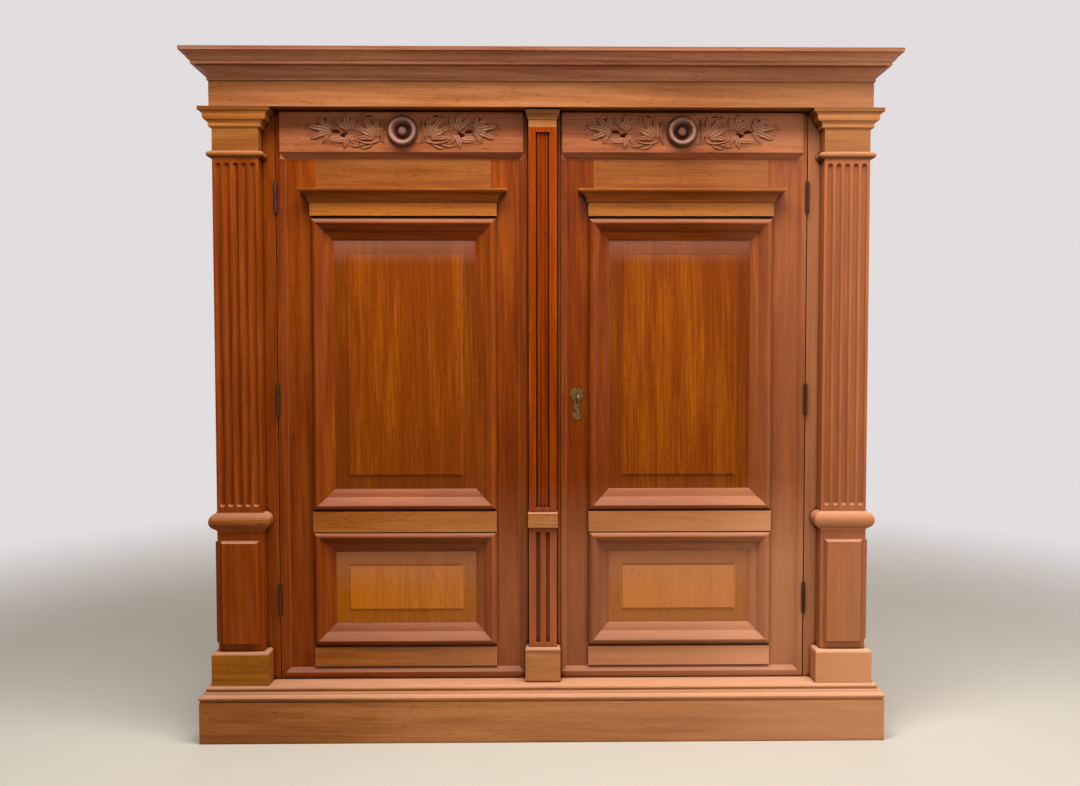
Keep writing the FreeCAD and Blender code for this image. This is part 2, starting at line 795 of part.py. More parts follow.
crown_levels = ("body_top", "fascia_height")
fascia_front_board = box(
    "FasciaFront", ("-fascia_half", "2 * fascia_half"), ("fascia_y", "fascia_thickness"), crown_levels
)
fascia_right = box(
    "FasciaRight", (fascia_inner, "fascia_thickness"), span("fascia_y + fascia_thickness", "back_y"),
    crown_levels,
)
fascia_back = box(
    "FasciaBack", (f"-({fascia_inner})", f"2 * ({fascia_inner})"),
    ("back_y - fascia_thickness", "fascia_thickness"), crown_levels,
)
keep("crown_frame", group("CrownFrame", [
    fascia_front_board, fascia_right, mirror("FasciaLeft", fascia_right), fascia_back
]))
keep("crown_moulding", solid("CrownMoulding", each_solid(surround(
    (-V["fascia_half"], V["fascia_half"]), (V["fascia_y"], V["back_y"]),
    (V["crown_foot"], V["crown_foot"] + V["crown_height"]), CROWN_SHARES, V["crown_reach"],
    V["crown_reach"], V["crown_seat"],
))))
keep("crown_lid", box(
    "CrownLid", ("crown_seat - fascia_half", "2 * (fascia_half - crown_seat)"),
    span("fascia_y + crown_seat", "back_y"), ("crown_foot", "lid_thickness"),
))

# Shelves on cleats that are screwed to the side frames

shelf_y = span("post_back_y + shelf_front_gap", "back_board_y - shelf_play")
cleats = []
for index in range(3):
    level = f"(shelf_first_level + {index} * shelf_spacing)"
    keep(f"shelf_{index + 1}", box(
        f"Shelf{index + 1}", ("shelf_play - side_inner", "2 * (side_inner - shelf_play)"), shelf_y,
        (level, "shelf_thickness"),
    ))
    cleat = box(
        f"Cleat{index + 1}", ("side_inner - cleat_section", "cleat_section"), shelf_y,
        (f"{level} - cleat_section", "cleat_section"),
    )
    cleats += [cleat, mirror(f"Cleat{index + 1}Left", cleat)]
keep("shelf_cleats", group("Cleats", cleats))

# Door frames: grooved stiles, and rails with tongues that fill the grooves

stile_y = ("door_front_y", "door_thickness")
stile_z = ("door_foot", "door_height")
tongue_y = ("groove_front_y", "panel_thickness")
tongue_x = (
    "opening_inner - panel_groove_depth", "opening_width + 2 * panel_groove_depth"
)


def grooved_stile(name, x, groove_x, more_cuts):
    blank = box(name + "Blank", x, stile_y, stile_z)
    groove = box(name + "Groove", groove_x, tongue_y, ("door_foot - overrun", "door_height + 2 * overrun"))
    return cut(name, blank, [groove] + more_cuts)


hinge_stile = grooved_stile(
    "HingeStile", span("opening_outer", "door_outer"), ("opening_outer", "panel_groove_depth"), []
)
lock_levels = ("lock_level - lock_case_height / 2", "lock_case_height")
lock_pocket = box(
    "LockPocket", ("right_meeting - overrun", "lock_case_width + overrun"),
    ("lock_pocket_y", "lock_case_thickness + overrun"), lock_levels,
)


def keyhole(name, start, depth):
    # A round hole for the stem over a slot for the bit
    reach = "key_radius + key_bit_length + keyhole_clearance"
    return fuse(name, [
        rod(name + "Round", "key_radius + keyhole_clearance", depth, "key_x", start, "lock_level", "Y"),
        box(
            name + "Slot",
            (
                "key_x - key_bit_thickness / 2 - keyhole_clearance",
                "key_bit_thickness + 2 * keyhole_clearance",
            ),
            (start, depth), (f"lock_level - ({reach})", reach),
        ),
    ])


door_keyhole = keyhole("DoorKeyhole", "door_front_y - overrun", "door_thickness + 2 * overrun")
right_meeting_stile = grooved_stile(
    "RightMeetingStile", span("right_meeting", "opening_inner"),
    ("opening_inner - panel_groove_depth", "panel_groove_depth"), [lock_pocket, door_keyhole],
)
keep("right_door_stiles", group("RightStiles", [hinge_stile, right_meeting_stile]))

# The left meeting stile runs on under the centre pilaster. It is bored for its two bolts
# and slotted for their knobs, and its edge takes the bolt of the lock.

stile_cuts = [box(
    "LockKeeper", ("left_meeting - lock_bolt_throw - lock_clearance", "lock_bolt_throw + overrun"),
    ("lock_bolt_y - lock_clearance", "lock_bolt_thickness + 2 * lock_clearance"),
    (
        "lock_level - lock_bolt_height / 2 - lock_clearance",
        "lock_bolt_height + 2 * lock_clearance",
    ),
)]
bore_length = "rod_length + 2 * rod_end_gap + overrun"
slot_x = ("rod_place - knob_stem_radius - rod_clearance", "2 * (knob_stem_radius + rod_clearance)")
slot_y = span("rod_y", "door_back_y + overrun")
slot_size = "rod_throw + 2 * (knob_stem_radius + rod_clearance)"
knob_above = "(door_head - rod_end_gap - rod_length + knob_place)"
knob_below = "(door_foot + rod_end_gap + rod_length - knob_place)"
stile_cuts += [
    rod(
        "UpperBore", "rod_radius + rod_clearance", bore_length, "rod_place", "rod_y",
        "door_head - rod_length - 2 * rod_end_gap",
    ),
    rod(
        "LowerBore", "rod_radius + rod_clearance", bore_length, "rod_place", "rod_y",
        "door_foot - overrun",
    ),
    box("UpperSlot", slot_x, slot_y, (f"{knob_above} - knob_stem_radius - rod_clearance", slot_size)),
    box(
        "LowerSlot", slot_x, slot_y,
        (f"{knob_below} - rod_throw - knob_stem_radius - rod_clearance", slot_size),
    ),
]
left_meeting_stile = grooved_stile(
    "LeftMeetingStile", span("-opening_inner", "left_meeting"), ("-opening_inner", "panel_groove_depth"),
    stile_cuts,
)
keep("left_door_stiles", group("LeftStiles", [mirror("LeftHingeStile", hinge_stile), left_meeting_stile]))


def rail(name, foot, head, panel_below, panel_above):
    across = ("opening_inner", "opening_width")
    blank = box(name + "Blank", across, stile_y, span(foot, head))
    tongue_foot = f"{foot} + panel_groove_depth" if panel_below else foot
    tongue_head = f"{head} - panel_groove_depth" if panel_above else head
    tongue = box(name + "Tongue", tongue_x, tongue_y, span(tongue_foot, tongue_head))
    grooves = []
    if panel_below:
        grooves.append(box(name + "LowGroove", tongue_x, tongue_y, (foot, "panel_groove_depth")))
    if panel_above:
        grooves.append(box(
            name + "HighGroove", tongue_x, tongue_y, (f"{head} - panel_groove_depth", "panel_groove_depth")
        ))
    return cut(name, fuse(name + "Body", [blank, tongue]), grooves)


rails = [
    rail("FootRail", "door_foot", "lower_opening_foot", False, True),
    rail("LockRail", "lower_opening_head", "upper_opening_foot", True, True),
    rail("HeadRail", "upper_opening_head", "door_head", True, False),
]
keep("right_door_rails", group("RightRails", rails))
keep("left_door_rails", group("LeftRails", [mirror(part.Name + "Left", part) for part in rails]))

# Door panels: thin edges in the grooves and a raised, bevelled field


def door_panel(name, foot, head):
    edge = "panel_groove_depth - panel_shrinkage"
    body = doc.addObject("PartDesign::Body", name)
    slab_outline = outline(body, name + "Edge", "XZ_Plane", rectangle(
        f"opening_inner - ({edge})", f"opening_outer + {edge}", f"{foot} - ({edge})", f"{head} + {edge}"
    ), "-groove_back_y")
    slab = body.newObject("PartDesign::Pad", name + "Slab")
    slab.Profile = slab_outline
    bind(slab, {"Length": "panel_thickness"})
    doc.recompute()
    inset = "moulding_width - moulding_lap + field_border"
    field_outline = outline(body, name + "FieldEdge", "XZ_Plane", rectangle(
        f"opening_inner + {inset}", f"opening_outer - ({inset})", f"{foot} + {inset}", f"{head} - ({inset})"
    ), "-groove_front_y")
    field = body.newObject("PartDesign::Pad", name + "Field")
    field.Profile = field_outline
    bind(field, {"Length": "field_rise"})
    field.setExpression("TaperAngle", "-atan(Sizes.field_bevel / Sizes.field_rise)")
    doc.recompute()
    body.Tip = field
    return body


upper_panel = door_panel("UpperPanel", "upper_opening_foot", "upper_opening_head")
lower_panel = door_panel("LowerPanel", "lower_opening_foot", "lower_opening_head")
keep("right_door_panels", group("RightPanels", [upper_panel, lower_panel]))
keep("left_door_panels", group("LeftPanels", [
    mirror("UpperPanelLeft", upper_panel), mirror("LowerPanelLeft", lower_panel)
]))

# Mouldings round the panels: four mitred strips each, lapped over the door's face


def panel_moulding(foot, head):
    low_x, high_x = V["opening_inner"] - V["moulding_lap"], V["opening_outer"] + V["moulding_lap"]
    low_z, high_z = V[foot] - V["moulding_lap"], V[head] + V["moulding_lap"]
    width, rise = V["moulding_width"], V["moulding_rise"]
    face, panel_face = V["door_front_y"], V["groove_front_y"]
    outer_share, lip_share = 0, V["moulding_lap"] / width

    def strip(corner, inward, along, length, far_corner):
        def place(across, out):
            spot = corner + inward * (across * width)
            spot.y = face - out * rise
            return spot

        edges = traced(PANEL_MOULDING_SHARES, place)
        last = place(*PANEL_MOULDING_SHARES[-1][-2:])
        back, lip_back, lip = FreeCAD.Vector(last), place(lip_share, 0), place(lip_share, 0)
        back.y = panel_face
        lip_back.y = panel_face
        section = joined(edges, [last, back, lip_back, lip, place(outer_share, 0)])
        bar = section.extrude(along * length)
        points = [
            corner, far_corner, far_corner + (inward - along) * width, corner + (inward + along) * width,
        ]
        for point in points:
            point.y = face - rise - V["overrun"]
        reach = panel_face - face + rise + 2 * V["overrun"]
        return bar.common(prism(points, FreeCAD.Vector(0, reach, 0)))

    right, up = FreeCAD.Vector(1, 0, 0), FreeCAD.Vector(0, 0, 1)
    corners = [
        FreeCAD.Vector(low_x, 0, low_z), FreeCAD.Vector(high_x, 0, low_z),
        FreeCAD.Vector(high_x, 0, high_z), FreeCAD.Vector(low_x, 0, high_z),
    ]
    wide, tall = high_x - low_x, high_z - low_z
    return [
        strip(corners[0], up, right, wide, corners[1]),
        strip(corners[1], right * -1, up, tall, corners[2]),
        strip(corners[2], up * -1, right * -1, wide, corners[3]),
        strip(corners[3], right, up * -1, tall, corners[0]),
    ]


right_mouldings = keep("right_door_panel_mouldings", solid("RightMouldings", each_solid(
    panel_moulding("upper_opening_foot", "upper_opening_head")
    + panel_moulding("lower_opening_foot", "lower_opening_head")
)))
keep("left_door_panel_mouldings", mirror("LeftMouldings", right_mouldings))

# Flat bands on the lock rail and the foot rail

lock_band = box(
    "LockBand", ("panel_centre - band_half_width", "2 * band_half_width"),
    ("door_front_y - band_rise", "band_rise"), span("lock_band_level", "lock_band_head"),
)
foot_band = box(
    "FootBand", ("panel_centre - band_half_width", "2 * band_half_width"),
    ("door_front_y - foot_band_rise", "foot_band_rise"), span("foot_band_level", "foot_band_head"),
)
right_bands = keep("right_door_bands", group("RightBands", [lock_band, foot_band]))
keep("left_door_bands", group("LeftBands", [
    mirror("LockBandLeft", lock_band), mirror("FootBandLeft", foot_band)
]))

# The small entablature over each upper panel: a flat strip under a projecting cornice

right_entablature = keep("right_door_entablature", solid("RightEntablature", moulded_block(
    (V["panel_centre"] - V["entablature_half_width"], V["panel_centre"] + V["entablature_half_width"]),
    (V["door_front_y"] - V["entablature_rise"], V["door_front_y"]),
    (V["entablature_level"], V["entablature_level"] + V["entablature_height"]),
    ENTABLATURE_SHARES, V["entablature_reach"], V["entablature_reach"],
)))
keep("left_door_entablature", mirror("LeftEntablature", right_entablature))

# Blocks and cap of the centre pilaster, which the left door carries


def mullion_block(foot, height, shares, side_reach, front_reach):
    return moulded_block(
        (-V["mullion_half_width"], V["mullion_half_width"]), (V["mullion_y"], V["door_front_y"]),
        (V[foot], V[foot] + V[height]), shares, V[side_reach], V[front_reach],
    )


foot_block = mullion_block(
    "door_foot", "mullion_foot_block_height", MULLION_BLOCK_SHARES, "mullion_foot_block_side",
    "mullion_foot_block_front",
)
middle_block = mullion_block(
    "mullion_middle_block", "mullion_middle_block_height", MULLION_BLOCK_SHARES,
    "mullion_middle_block_side", "mullion_middle_block_front",
)
cap_block = mullion_block(
    "mullion_cap", "mullion_cap_height", MULLION_CAP_SHARES, "mullion_cap_side", "mullion_cap_front"
)

# The bead round each door's edge and the frieze board at its head share one chamfered recess


def recess(low_x, high_x, low_face, high_face):
    # The sunk field, widening towards the front.
    chamfer, depth = V["bead_chamfer"], V["bead_thickness"]
    foot, head = V["door_foot"] + V["bead_foot_face"] + chamfer, V["frieze_foot"]
    outlines = []
    for forward in (-V["overrun"], depth + V["overrun"]):
        grow = chamfer * forward / depth
        left = low_x - (low_x - low_face) * forward / depth
        right = high_x + (high_face - high_x) * forward / depth
        y = V["door_front_y"] - forward
        outlines.append([
            FreeCAD.Vector(left, y, foot - grow), FreeCAD.Vector(right, y, foot - grow),
            FreeCAD.Vector(right, y, head + grow), FreeCAD.Vector(left, y, head + grow),
        ])
    return tapered(outlines[0], outlines[1])


def bead_and_frieze(meeting_edge, meeting_face, outer_edge):
    inner_face = meeting_edge + meeting_face
    outer_face = outer_edge - V["bead_face"]
    hollow = recess(
        inner_face + V["bead_chamfer"], outer_face - V["bead_chamfer"], inner_face, outer_face
    )
    plate = plain_box(
        (meeting_edge, outer_edge), (V["face_y"], V["door_front_y"]), (V["door_foot"], V["door_head"])
    )
    frieze_ground = plain_box(
        (inner_face, outer_face), (V["frieze_y"], V["door_front_y"]), (V["frieze_foot"], V["door_head"])
    )
    beads = plate.cut(hollow.fuse(frieze_ground))
    frieze = frieze_ground.cut(hollow)
    return beads, frieze


right_beads, right_frieze = bead_and_frieze(
    V["right_meeting"], V["meeting_bead_face"], V["door_outer"]
)
keep("right_door_edge_beads", solid("RightBeads", right_beads))
keep("right_door_frieze", solid("RightFrieze", right_frieze))

# On the left door the bead runs beside the centre pilaster, and a narrow one closes the
# pilaster's other flank. Both are cut away where the blocks and the cap of the pilaster sit.
left_beads, left_frieze = bead_and_frieze(
    V["mullion_half_width"] + V["mullion_quirk"], V["bead_face"], V["door_outer"]
)
across = FreeCAD.Vector(1, 0, 0)
flank_bead = plain_box(
    (V["mullion_half_width"] + V["mullion_quirk"], V["left_meeting"]),
    (V["face_y"], V["door_front_y"]), (V["door_foot"], V["door_head"]),
)
mullion_blocks = each_solid([foot_block, middle_block, cap_block])
keep("left_door_edge_beads", solid("LeftBeads", each_solid([
    left_beads.mirror(FreeCAD.Vector(), across).cut(mullion_blocks), flank_bead.cut(mullion_blocks)
])))
keep("left_door_frieze", solid("LeftFrieze", left_frieze.mirror(FreeCAD.Vector(), across)))

# Turned rosettes in the middle of the friezes

ROSETTE_SHARES = [
    (0, 0.62), (0.14, 0.66, 0.28, 0.46), (0.30, 0.16), (0.34, 0.10), (0.50, 0.12, 0.62, 0.55),
    (0.74, 1, 0.90, 0.62), (0.93, 0.30), (1, 0.22), (1, 0),
]


def rosette_place(radius, rise):
    return FreeCAD.Vector(
        V["panel_centre"] + radius * V["rosette_radius"], V["frieze_y"] - rise * V["rosette_rise"],
        V["rosette_level"],
    )


rosette_section = joined(
    traced(ROSETTE_SHARES, rosette_place),
    [rosette_place(1, 0), rosette_place(0, 0), rosette_place(*ROSETTE_SHARES[0])],
)
right_rosette = keep("right_door_rosette", solid("RightRosette", rosette_section.revolve(
    rosette_place(0, 0), FreeCAD.Vector(0, 1, 0), 360
)))
keep("left_door_rosette", mirror("LeftRosette", right_rosette))

# Centre pilaster, carried by the left door: two reeded shafts, two blocks and a cap

mullion_width = ("-mullion_half_width", "2 * mullion_half_width")
mullion_depth = span("mullion_y", "door_front_y")
recess_x = ("-mullion_recess_half", "2 * mullion_recess_half")
recess_y = ("mullion_y - overrun", "mullion_recess + overrun")


def reeded_shaft(name, foot, head, radius, sink, reed_places):
    blank = box(name + "Blank", mullion_width, mullion_depth, span(foot, head))
    low, high = f"({foot}) + mullion_recess_margin", f"({head}) - mullion_recess_margin"
    sunk = cut(name + "Sunk", blank, [box(name + "Recess", recess_x, recess_y, span(low, high))])
    reeds = [
        rod(
            f"{name}Reed{index + 1}", radius, span(low, high)[1], place,
            f"mullion_y + mullion_recess + {sink}", low,
        )
        for index, place in enumerate(reed_places)
    ]
    return fuse(name, [sunk] + reeds)


upper_shaft = reeded_shaft(
    "MullionShaft", "mullion_shaft", "mullion_cap", "mullion_reed_radius", "mullion_reed_sink",
    ["-mullion_reed_spacing", "0 * mullion_reed_spacing", "mullion_reed_spacing"],
)
lower_shaft = reeded_shaft(
    "MullionFootShaft", "mullion_foot_shaft", "mullion_middle_block", "mullion_foot_reed_radius",
    "(mullion_foot_reed_radius - mullion_recess)", ["0 * mullion_reed_spacing"],
)
keep("centre_pilaster_shafts", group("MullionShafts", [upper_shaft, lower_shaft]))


keep("centre_pilaster_blocks", solid("MullionBlocks", each_solid([foot_block, middle_block])))
keep("centre_pilaster_cap", solid("MullionCap", cap_block))

# Lift-off hinges: the post carries the lower knuckle and the pin, the door the upper knuckle

lower_halves, upper_halves = [], []
for index in range(3):
    middle = f"(hinge_first_level + {index} * hinge_spacing)"
    leaf_y = ("hinge_y", "hinge_forward + hinge_leaf_depth")
    lower_z = (f"{middle} - hinge_half_height", "hinge_half_height - hinge_running_gap")
    upper_z = (f"{middle} + hinge_running_gap", "hinge_half_height - hinge_running_gap")
    lower_halves.append(fuse(f"LowerHinge{index + 1}", [
        rod(f"LowerKnuckle{index + 1}", "hinge_radius", lower_z[1], "hinge_x", "hinge_y", lower_z[0]),
        box(
            f"LowerLeaf{index + 1}", ("post_inner - hinge_leaf_thickness", "hinge_leaf_thickness"), leaf_y,
            lower_z,
        ),
        rod(
            f"Pin{index + 1}", "hinge_pin_radius", "hinge_half_height + hinge_pin_height", "hinge_x",
            "hinge_y", f"{middle} - hinge_half_height",
        ),
    ]))
    upper_halves.append(cut(
        f"UpperHinge{index + 1}",
        fuse(f"UpperHingeBody{index + 1}", [
            rod(f"UpperKnuckle{index + 1}", "hinge_radius", upper_z[1], "hinge_x", "hinge_y", upper_z[0]),
            box(f"UpperLeaf{index + 1}", ("door_outer", "hinge_leaf_thickness"), leaf_y, upper_z),
        ]),
        [rod(
            f"PinBore{index + 1}", "hinge_pin_radius + hinge_pin_clearance",
            "hinge_pin_height + hinge_running_gap + overrun", "hinge_x", "hinge_y", f"{middle} - overrun",
        )],
    ))
keep("post_hinge_halves", group("PostHinges", lower_halves + [
    mirror(half.Name + "Left", half) for half in lower_halves
]))
keep("right_door_hinge_halves", group("RightDoorHinges", upper_halves))
keep("left_door_hinge_halves", group("LeftDoorHinges", [
    mirror(half.Name + "Left", half) for half in upper_halves
]))

# Lock: a flat case let into the back of the right door, its bolt, key and keyhole plate

case_blank = box(
    "CaseBlank", ("right_meeting", "lock_case_width"), ("lock_pocket_y", "lock_case_thickness"), lock_levels
)
case_hollow = box(
    "CaseHollow", ("right_meeting + lock_wall", "lock_case_width - 2 * lock_wall"),
    ("lock_hollow_y", "lock_case_thickness - 2 * lock_wall"),
    ("lock_level - lock_case_height / 2 + lock_wall", "lock_case_height - 2 * lock_wall"),
)
bolt_slot = box(
    "BoltSlot", ("right_meeting - overrun", "2 * overrun"),
    ("lock_bolt_y - lock_clearance", "lock_bolt_thickness + 2 * lock_clearance"),
    (
        "lock_level - lock_bolt_height / 2 - lock_clearance",
        "lock_bolt_height + 2 * lock_clearance",
    ),
)
case_keyhole = keyhole("CaseKeyhole", "lock_pocket_y - overrun", "overrun + lock_wall + lock_clearance")
key_pin = rod(
    "KeyPin", "key_pin_radius", "door_back_y - key_tip_y + key_pin_length", "key_x",
    "key_tip_y - key_pin_length", "lock_level", "Y",
)
keep("lock_case", fuse("LockCase", [
    cut("LockShell", case_blank, [case_hollow, bolt_slot, case_keyhole]), key_pin
]))
bolt_blank = box(
    "BoltBlank", ("right_meeting + lock_clearance", "lock_bolt_length"),
    ("lock_bolt_y", "lock_bolt_thickness"), ("lock_level - lock_bolt_height / 2", "lock_bolt_height"),
)
bolt_pin_slot = box(
    "BoltPinSlot",
    ("key_x - key_pin_radius - lock_clearance", "lock_bolt_throw + 2 * (key_pin_radius + lock_clearance)"),
    ("lock_bolt_y - overrun", "lock_bolt_thickness + 2 * overrun"),
    ("lock_level - key_pin_radius - lock_clearance", "2 * (key_pin_radius + lock_clearance)"),
)
keep("lock_bolt", cut("LockBolt", bolt_blank, [bolt_pin_slot]))

key_stem = rod(
    "KeyStem", "key_radius", "key_tip_y - door_front_y + key_reach", "key_x", "door_front_y - key_reach",
    "lock_level", "Y",
)
key_collar = rod(
    "KeyCollar", "key_collar_radius", "key_collar_length",
    "key_x", "door_front_y - key_reach / 2", "lock_level", "Y",
)
key_bit = box(
    "KeyBit", ("key_x - key_bit_thickness / 2", "key_bit_thickness"),
    ("key_tip_y - key_bit_height", "key_bit_height"),
    ("lock_level - key_radius - key_bit_length", "key_radius + key_bit_length"),
)
key_bow = doc.addObject("Part::Torus", "KeyBow")
key_bow.Placement = FreeCAD.Placement(FreeCAD.Vector(), FreeCAD.Rotation(FreeCAD.Vector(0, 1, 0), 90))
bind(key_bow, {
    "Radius1": "key_bow_radius", "Radius2": "key_bow_wire", "Placement.Base.x": "key_x",
    "Placement.Base.y": "door_front_y - key_reach - key_bow_radius", "Placement.Base.z": "lock_level",
})
key_bore = rod(
    "KeyBore", "key_pin_radius + key_pin_clearance", "key_pin_length + 2 * lock_clearance + overrun",
    "key_x", "key_tip_y - key_pin_length - 2 * lock_clearance", "lock_level", "Y",
)
keep("key", cut("Key", fuse("KeyBody", [key_stem, key_collar, key_bit, key_bow]), [key_bore]))

plate_y = "door_front_y - plate_thickness"
plate_head = rod(
    "PlateHead", "plate_head_radius", "plate_thickness", "key_x", plate_y,
    "lock_level + plate_head_rise", "Y",
)
plate_foot = rod(
    "PlateFoot", "plate_foot_radius", "plate_thickness", "key_x", plate_y,
    "lock_level - plate_foot_drop", "Y",
)
plate_waist = box(
    "PlateWaist", ("key_x - plate_waist / 2", "plate_waist"), (plate_y, "plate_thickness"),
    ("lock_level - plate_foot_drop", "plate_foot_drop + plate_head_rise"),
)
plate_keyhole = keyhole("PlateKeyhole", f"{plate_y} - overrun", "plate_thickness + 2 * overrun")
keep("keyhole_plate", cut(
    "KeyholePlate", fuse("PlateBlank", [plate_head, plate_foot, plate_waist]), [plate_keyhole]
))

# Bolts that hold the left door at its head and foot, run in bores in the meeting stile


def bolt(name, foot, knob_level):
    return fuse(name, [
        rod(name + "Rod", "rod_radius", "rod_length", "rod_place", "rod_y", foot),
        rod(
            name + "Stem", "knob_stem_radius", "door_back_y - rod_y + knob_stand_off + knob_length / 2",
            "rod_place", "rod_y", knob_level, "Y",
        ),
        rod(
            name + "Knob", "knob_radius", "knob_length", "rod_place", "door_back_y + knob_stand_off",
            knob_level, "Y",
        ),
    ])


keep("left_door_top_bolt", bolt("TopBolt", "door_head - rod_end_gap - rod_length", knob_above))
keep("left_door_foot_bolt", bolt("FootBolt", "door_foot + rod_end_gap", knob_below))

# Every feature and every kept shape is checked before anything is written

doc.recompute()
for feature in doc.Objects:
    if "Invalid" in feature.State or "Error" in feature.State:
        raise RuntimeError(f"{feature.Name} failed: {feature.State}")
os.makedirs("parts", exist_ok=True)
for label, feature in nodes.items():
    shape = feature.Shape
    if shape.isNull() or not shape.isValid() or not shape.Solids:
        raise RuntimeError(f"{label} has no valid solid")
for label, feature in nodes.items():
    feature.Shape.exportStep(f"parts/{label}.step")
    bounds = feature.Shape.BoundBox
    print(
        f"{label:28s} solids {len(feature.Shape.Solids)}  volume {feature.Shape.Volume / 1000:10.1f} cm3  "
        f"x {bounds.XMin:7.1f} {bounds.XMax:7.1f}  y {bounds.YMin:7.1f} {bounds.YMax:7.1f}  "
        f"z {bounds.ZMin:7.1f} {bounds.ZMax:7.1f}"
    )
print(len(nodes), "pieces written")
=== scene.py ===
import math

import bmesh
import bpy
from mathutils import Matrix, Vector


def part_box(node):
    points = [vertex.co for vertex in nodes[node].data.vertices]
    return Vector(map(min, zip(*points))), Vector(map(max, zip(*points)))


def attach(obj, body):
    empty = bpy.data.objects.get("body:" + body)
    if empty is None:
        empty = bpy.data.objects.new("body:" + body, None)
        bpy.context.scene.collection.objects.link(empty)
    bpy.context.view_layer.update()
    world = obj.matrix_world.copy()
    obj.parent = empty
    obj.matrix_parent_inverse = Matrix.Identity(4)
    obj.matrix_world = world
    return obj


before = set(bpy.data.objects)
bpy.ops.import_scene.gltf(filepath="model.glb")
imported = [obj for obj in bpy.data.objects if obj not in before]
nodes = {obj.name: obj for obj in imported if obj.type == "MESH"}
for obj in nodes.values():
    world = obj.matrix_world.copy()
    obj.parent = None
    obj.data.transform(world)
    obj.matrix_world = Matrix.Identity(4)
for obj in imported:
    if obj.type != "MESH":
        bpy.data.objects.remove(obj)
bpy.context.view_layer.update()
print("frame loaded:", len(nodes), "solids")


def hexColour(text):
    channels = [int(text[i:i + 2], 16) / 255 for i in (1, 3, 5)]
    return (*[c / 12.92 if c <= 0.04045 else ((c + 0.055) / 1.055) ** 2.4 for c in channels], 1.0)


def addNode(tree, kind, inputs=None, **settings):
    node = tree.nodes.new(kind)
    for name, value in settings.items():
        setattr(node, name, value)
    for name, value in (inputs or {}).items():
        if isinstance(value, bpy.types.NodeSocket):
            tree.links.new(value, node.inputs[name])
        else:
            node.inputs[name].default_value = value
    return node


def span(limits, full=1.0):                         # inputs that rise from 0 to full between two limits
    return {"From Min": limits[0], "From Max": limits[1], "To Max": full}


def blankMaterial(name):
    material = bpy.data.materials.new(name)
    material.use_nodes = True
    tree = material.node_tree
    tree.nodes.clear()
    return material, tree, addNode(tree, "ShaderNodeTexCoord").outputs["Object"]


def addObject(name, data):
    made = bpy.data.objects.new(name, data)
    bpy.context.collection.objects.link(made)
    return made


def dress(material, wanted):                        # solids of the frame that get this material
    for node in wanted:
        for slot in nodes[node].material_slots:
            slot.material = material


# Mahogany, shellac polished and waxed: a warm red brown with ribbons of light and dark along the grain,
# short dark pores, old wax and painted shade in every corner and pale rubbed arrises.
polishedMahogany = {
    "dark": "#5f1f00", "middle": "#86400c", "light": "#a85a20",
    "cornerWax": "#2b0d03", "rubbedEdge": "#c98250",
    # each layer of the figure: width and length in millimetres, detail
    "wide": (320, 1500, 2.0),      # slow drift of tone over a board
    "ribbon": (16, 520, 2.0),      # stripes where the grain turns
    "rings": (95, 900, 1.0),       # contours of this one give the flat-sawn arches
    "fibre": (3.2, 160, 3.0),      # real fibres are 0.3 mm: drawn ten times as coarse so that they show
    "pore": (2.4, 26, 1.0),        # real pores are 0.2 mm wide and 4 mm long: drawn coarser too
    "ringCount": 5, "ringDepth": 0.12, "fibreDepth": 0.60, "ribbonDepth": 0.66, "wideDepth": 0.70,
    "poreDark": 0.40, "cornerDepth": 0.90, "cornerMm": 14,
    "cornerFrom": 0.84, "cornerTo": 0.32,          # openness, of 1, at which the old wax and painted shade in corners begin and are full
    "edgeMm": 1.4, "edgeWear": 0.45,
    "roughness": 0.34, "gloss": 0.04, "coat": 0.08, "coatRoughness": 0.24, "bumpMm": 0.22,
    "palerBelow": 0.0,             # boards lower than this height, in metres, are a shade paler
    "sunBleach": "#d2946c", "bleachRight": 0.24, "bleachFoot": 0.30,   # painted light: paler towards the window side and its foot
    "dustyTop": "#cfa48e", "topFade": 0.26,        # upward faces paler: painted light from above, and a film of dust
    "dustMatt": 0.30,              # how much rougher that film makes them
    "levelShade": 0.0,             # how dark the bare, unpolished top edges of the doors are
    "keptDeep": "#4e1600", "leftDeep": 0.24, "turnedAway": 0.34,   # painted shade: darker away from the window and on faces turned left
    "darkUnder": 0.40,             # painted shade on undersides
    "margin": None,                # where a panel's sunk margin is, and how much painted shade darkens it
    "marginWood": "#4e2000", "marginShade": 0.0,
    "turned": None,                # middle, radius and painted shade of a turned rosette
    "rubbedFront": None,           # depths at which carving begins to be rubbed pale and is fully so, share
    "boards": None,                # first edge and width, in metres, of boards that each have their own grain
    "heightWax": None,             # foot and head of a moulding, and the painted shade on it from foot to head; on the panels it is a painted sheen
    "heightTint": "#2b0d03", "frontOf": 10.0,      # colour of that painted light, and the Y that it stays in front of
}

# What every wood here shares
woodHabits = {
    "start": (1.7, 0.4, 0.0), "perSeed": (1.0, 2.3, 3.1),      # metres by which a material's figure is moved
    "runOut": (0.012, 0.017, 0.0),                 # radians that the fibres are off the board
    "noiseRoughness": 0.55, "toneStops": (0.12, 0.50, 0.88), "palerStep": 0.36,
    "poreLevels": (0.60, 0.72), "poreRelief": -1.2, "bumpStrength": 0.5,
    "cornerSamples": 8, "edgeSamples": 6,
    "edgeTurn": (0.995, 0.86),                     # cosine of the turn over a rounded arris
    "openEdge": (0.60, 0.95), "wearGain": 1.6,     # an arris is only rubbed where a hand can reach it
    # how far faces turn up, left or down before they count as such, and fully so
    "dustySlope": (0.12, 0.50), "levelSlope": (0.93, 0.99), "leftSlope": (-0.20, -0.80),
    "underSlope": (-0.25, -0.80),
    "ribbonLevels": (0.30, 0.70), "smoother": 0.06, "rougher": 0.08, "cornerMatt": 0.30, "coatInDust": 0.2,
}
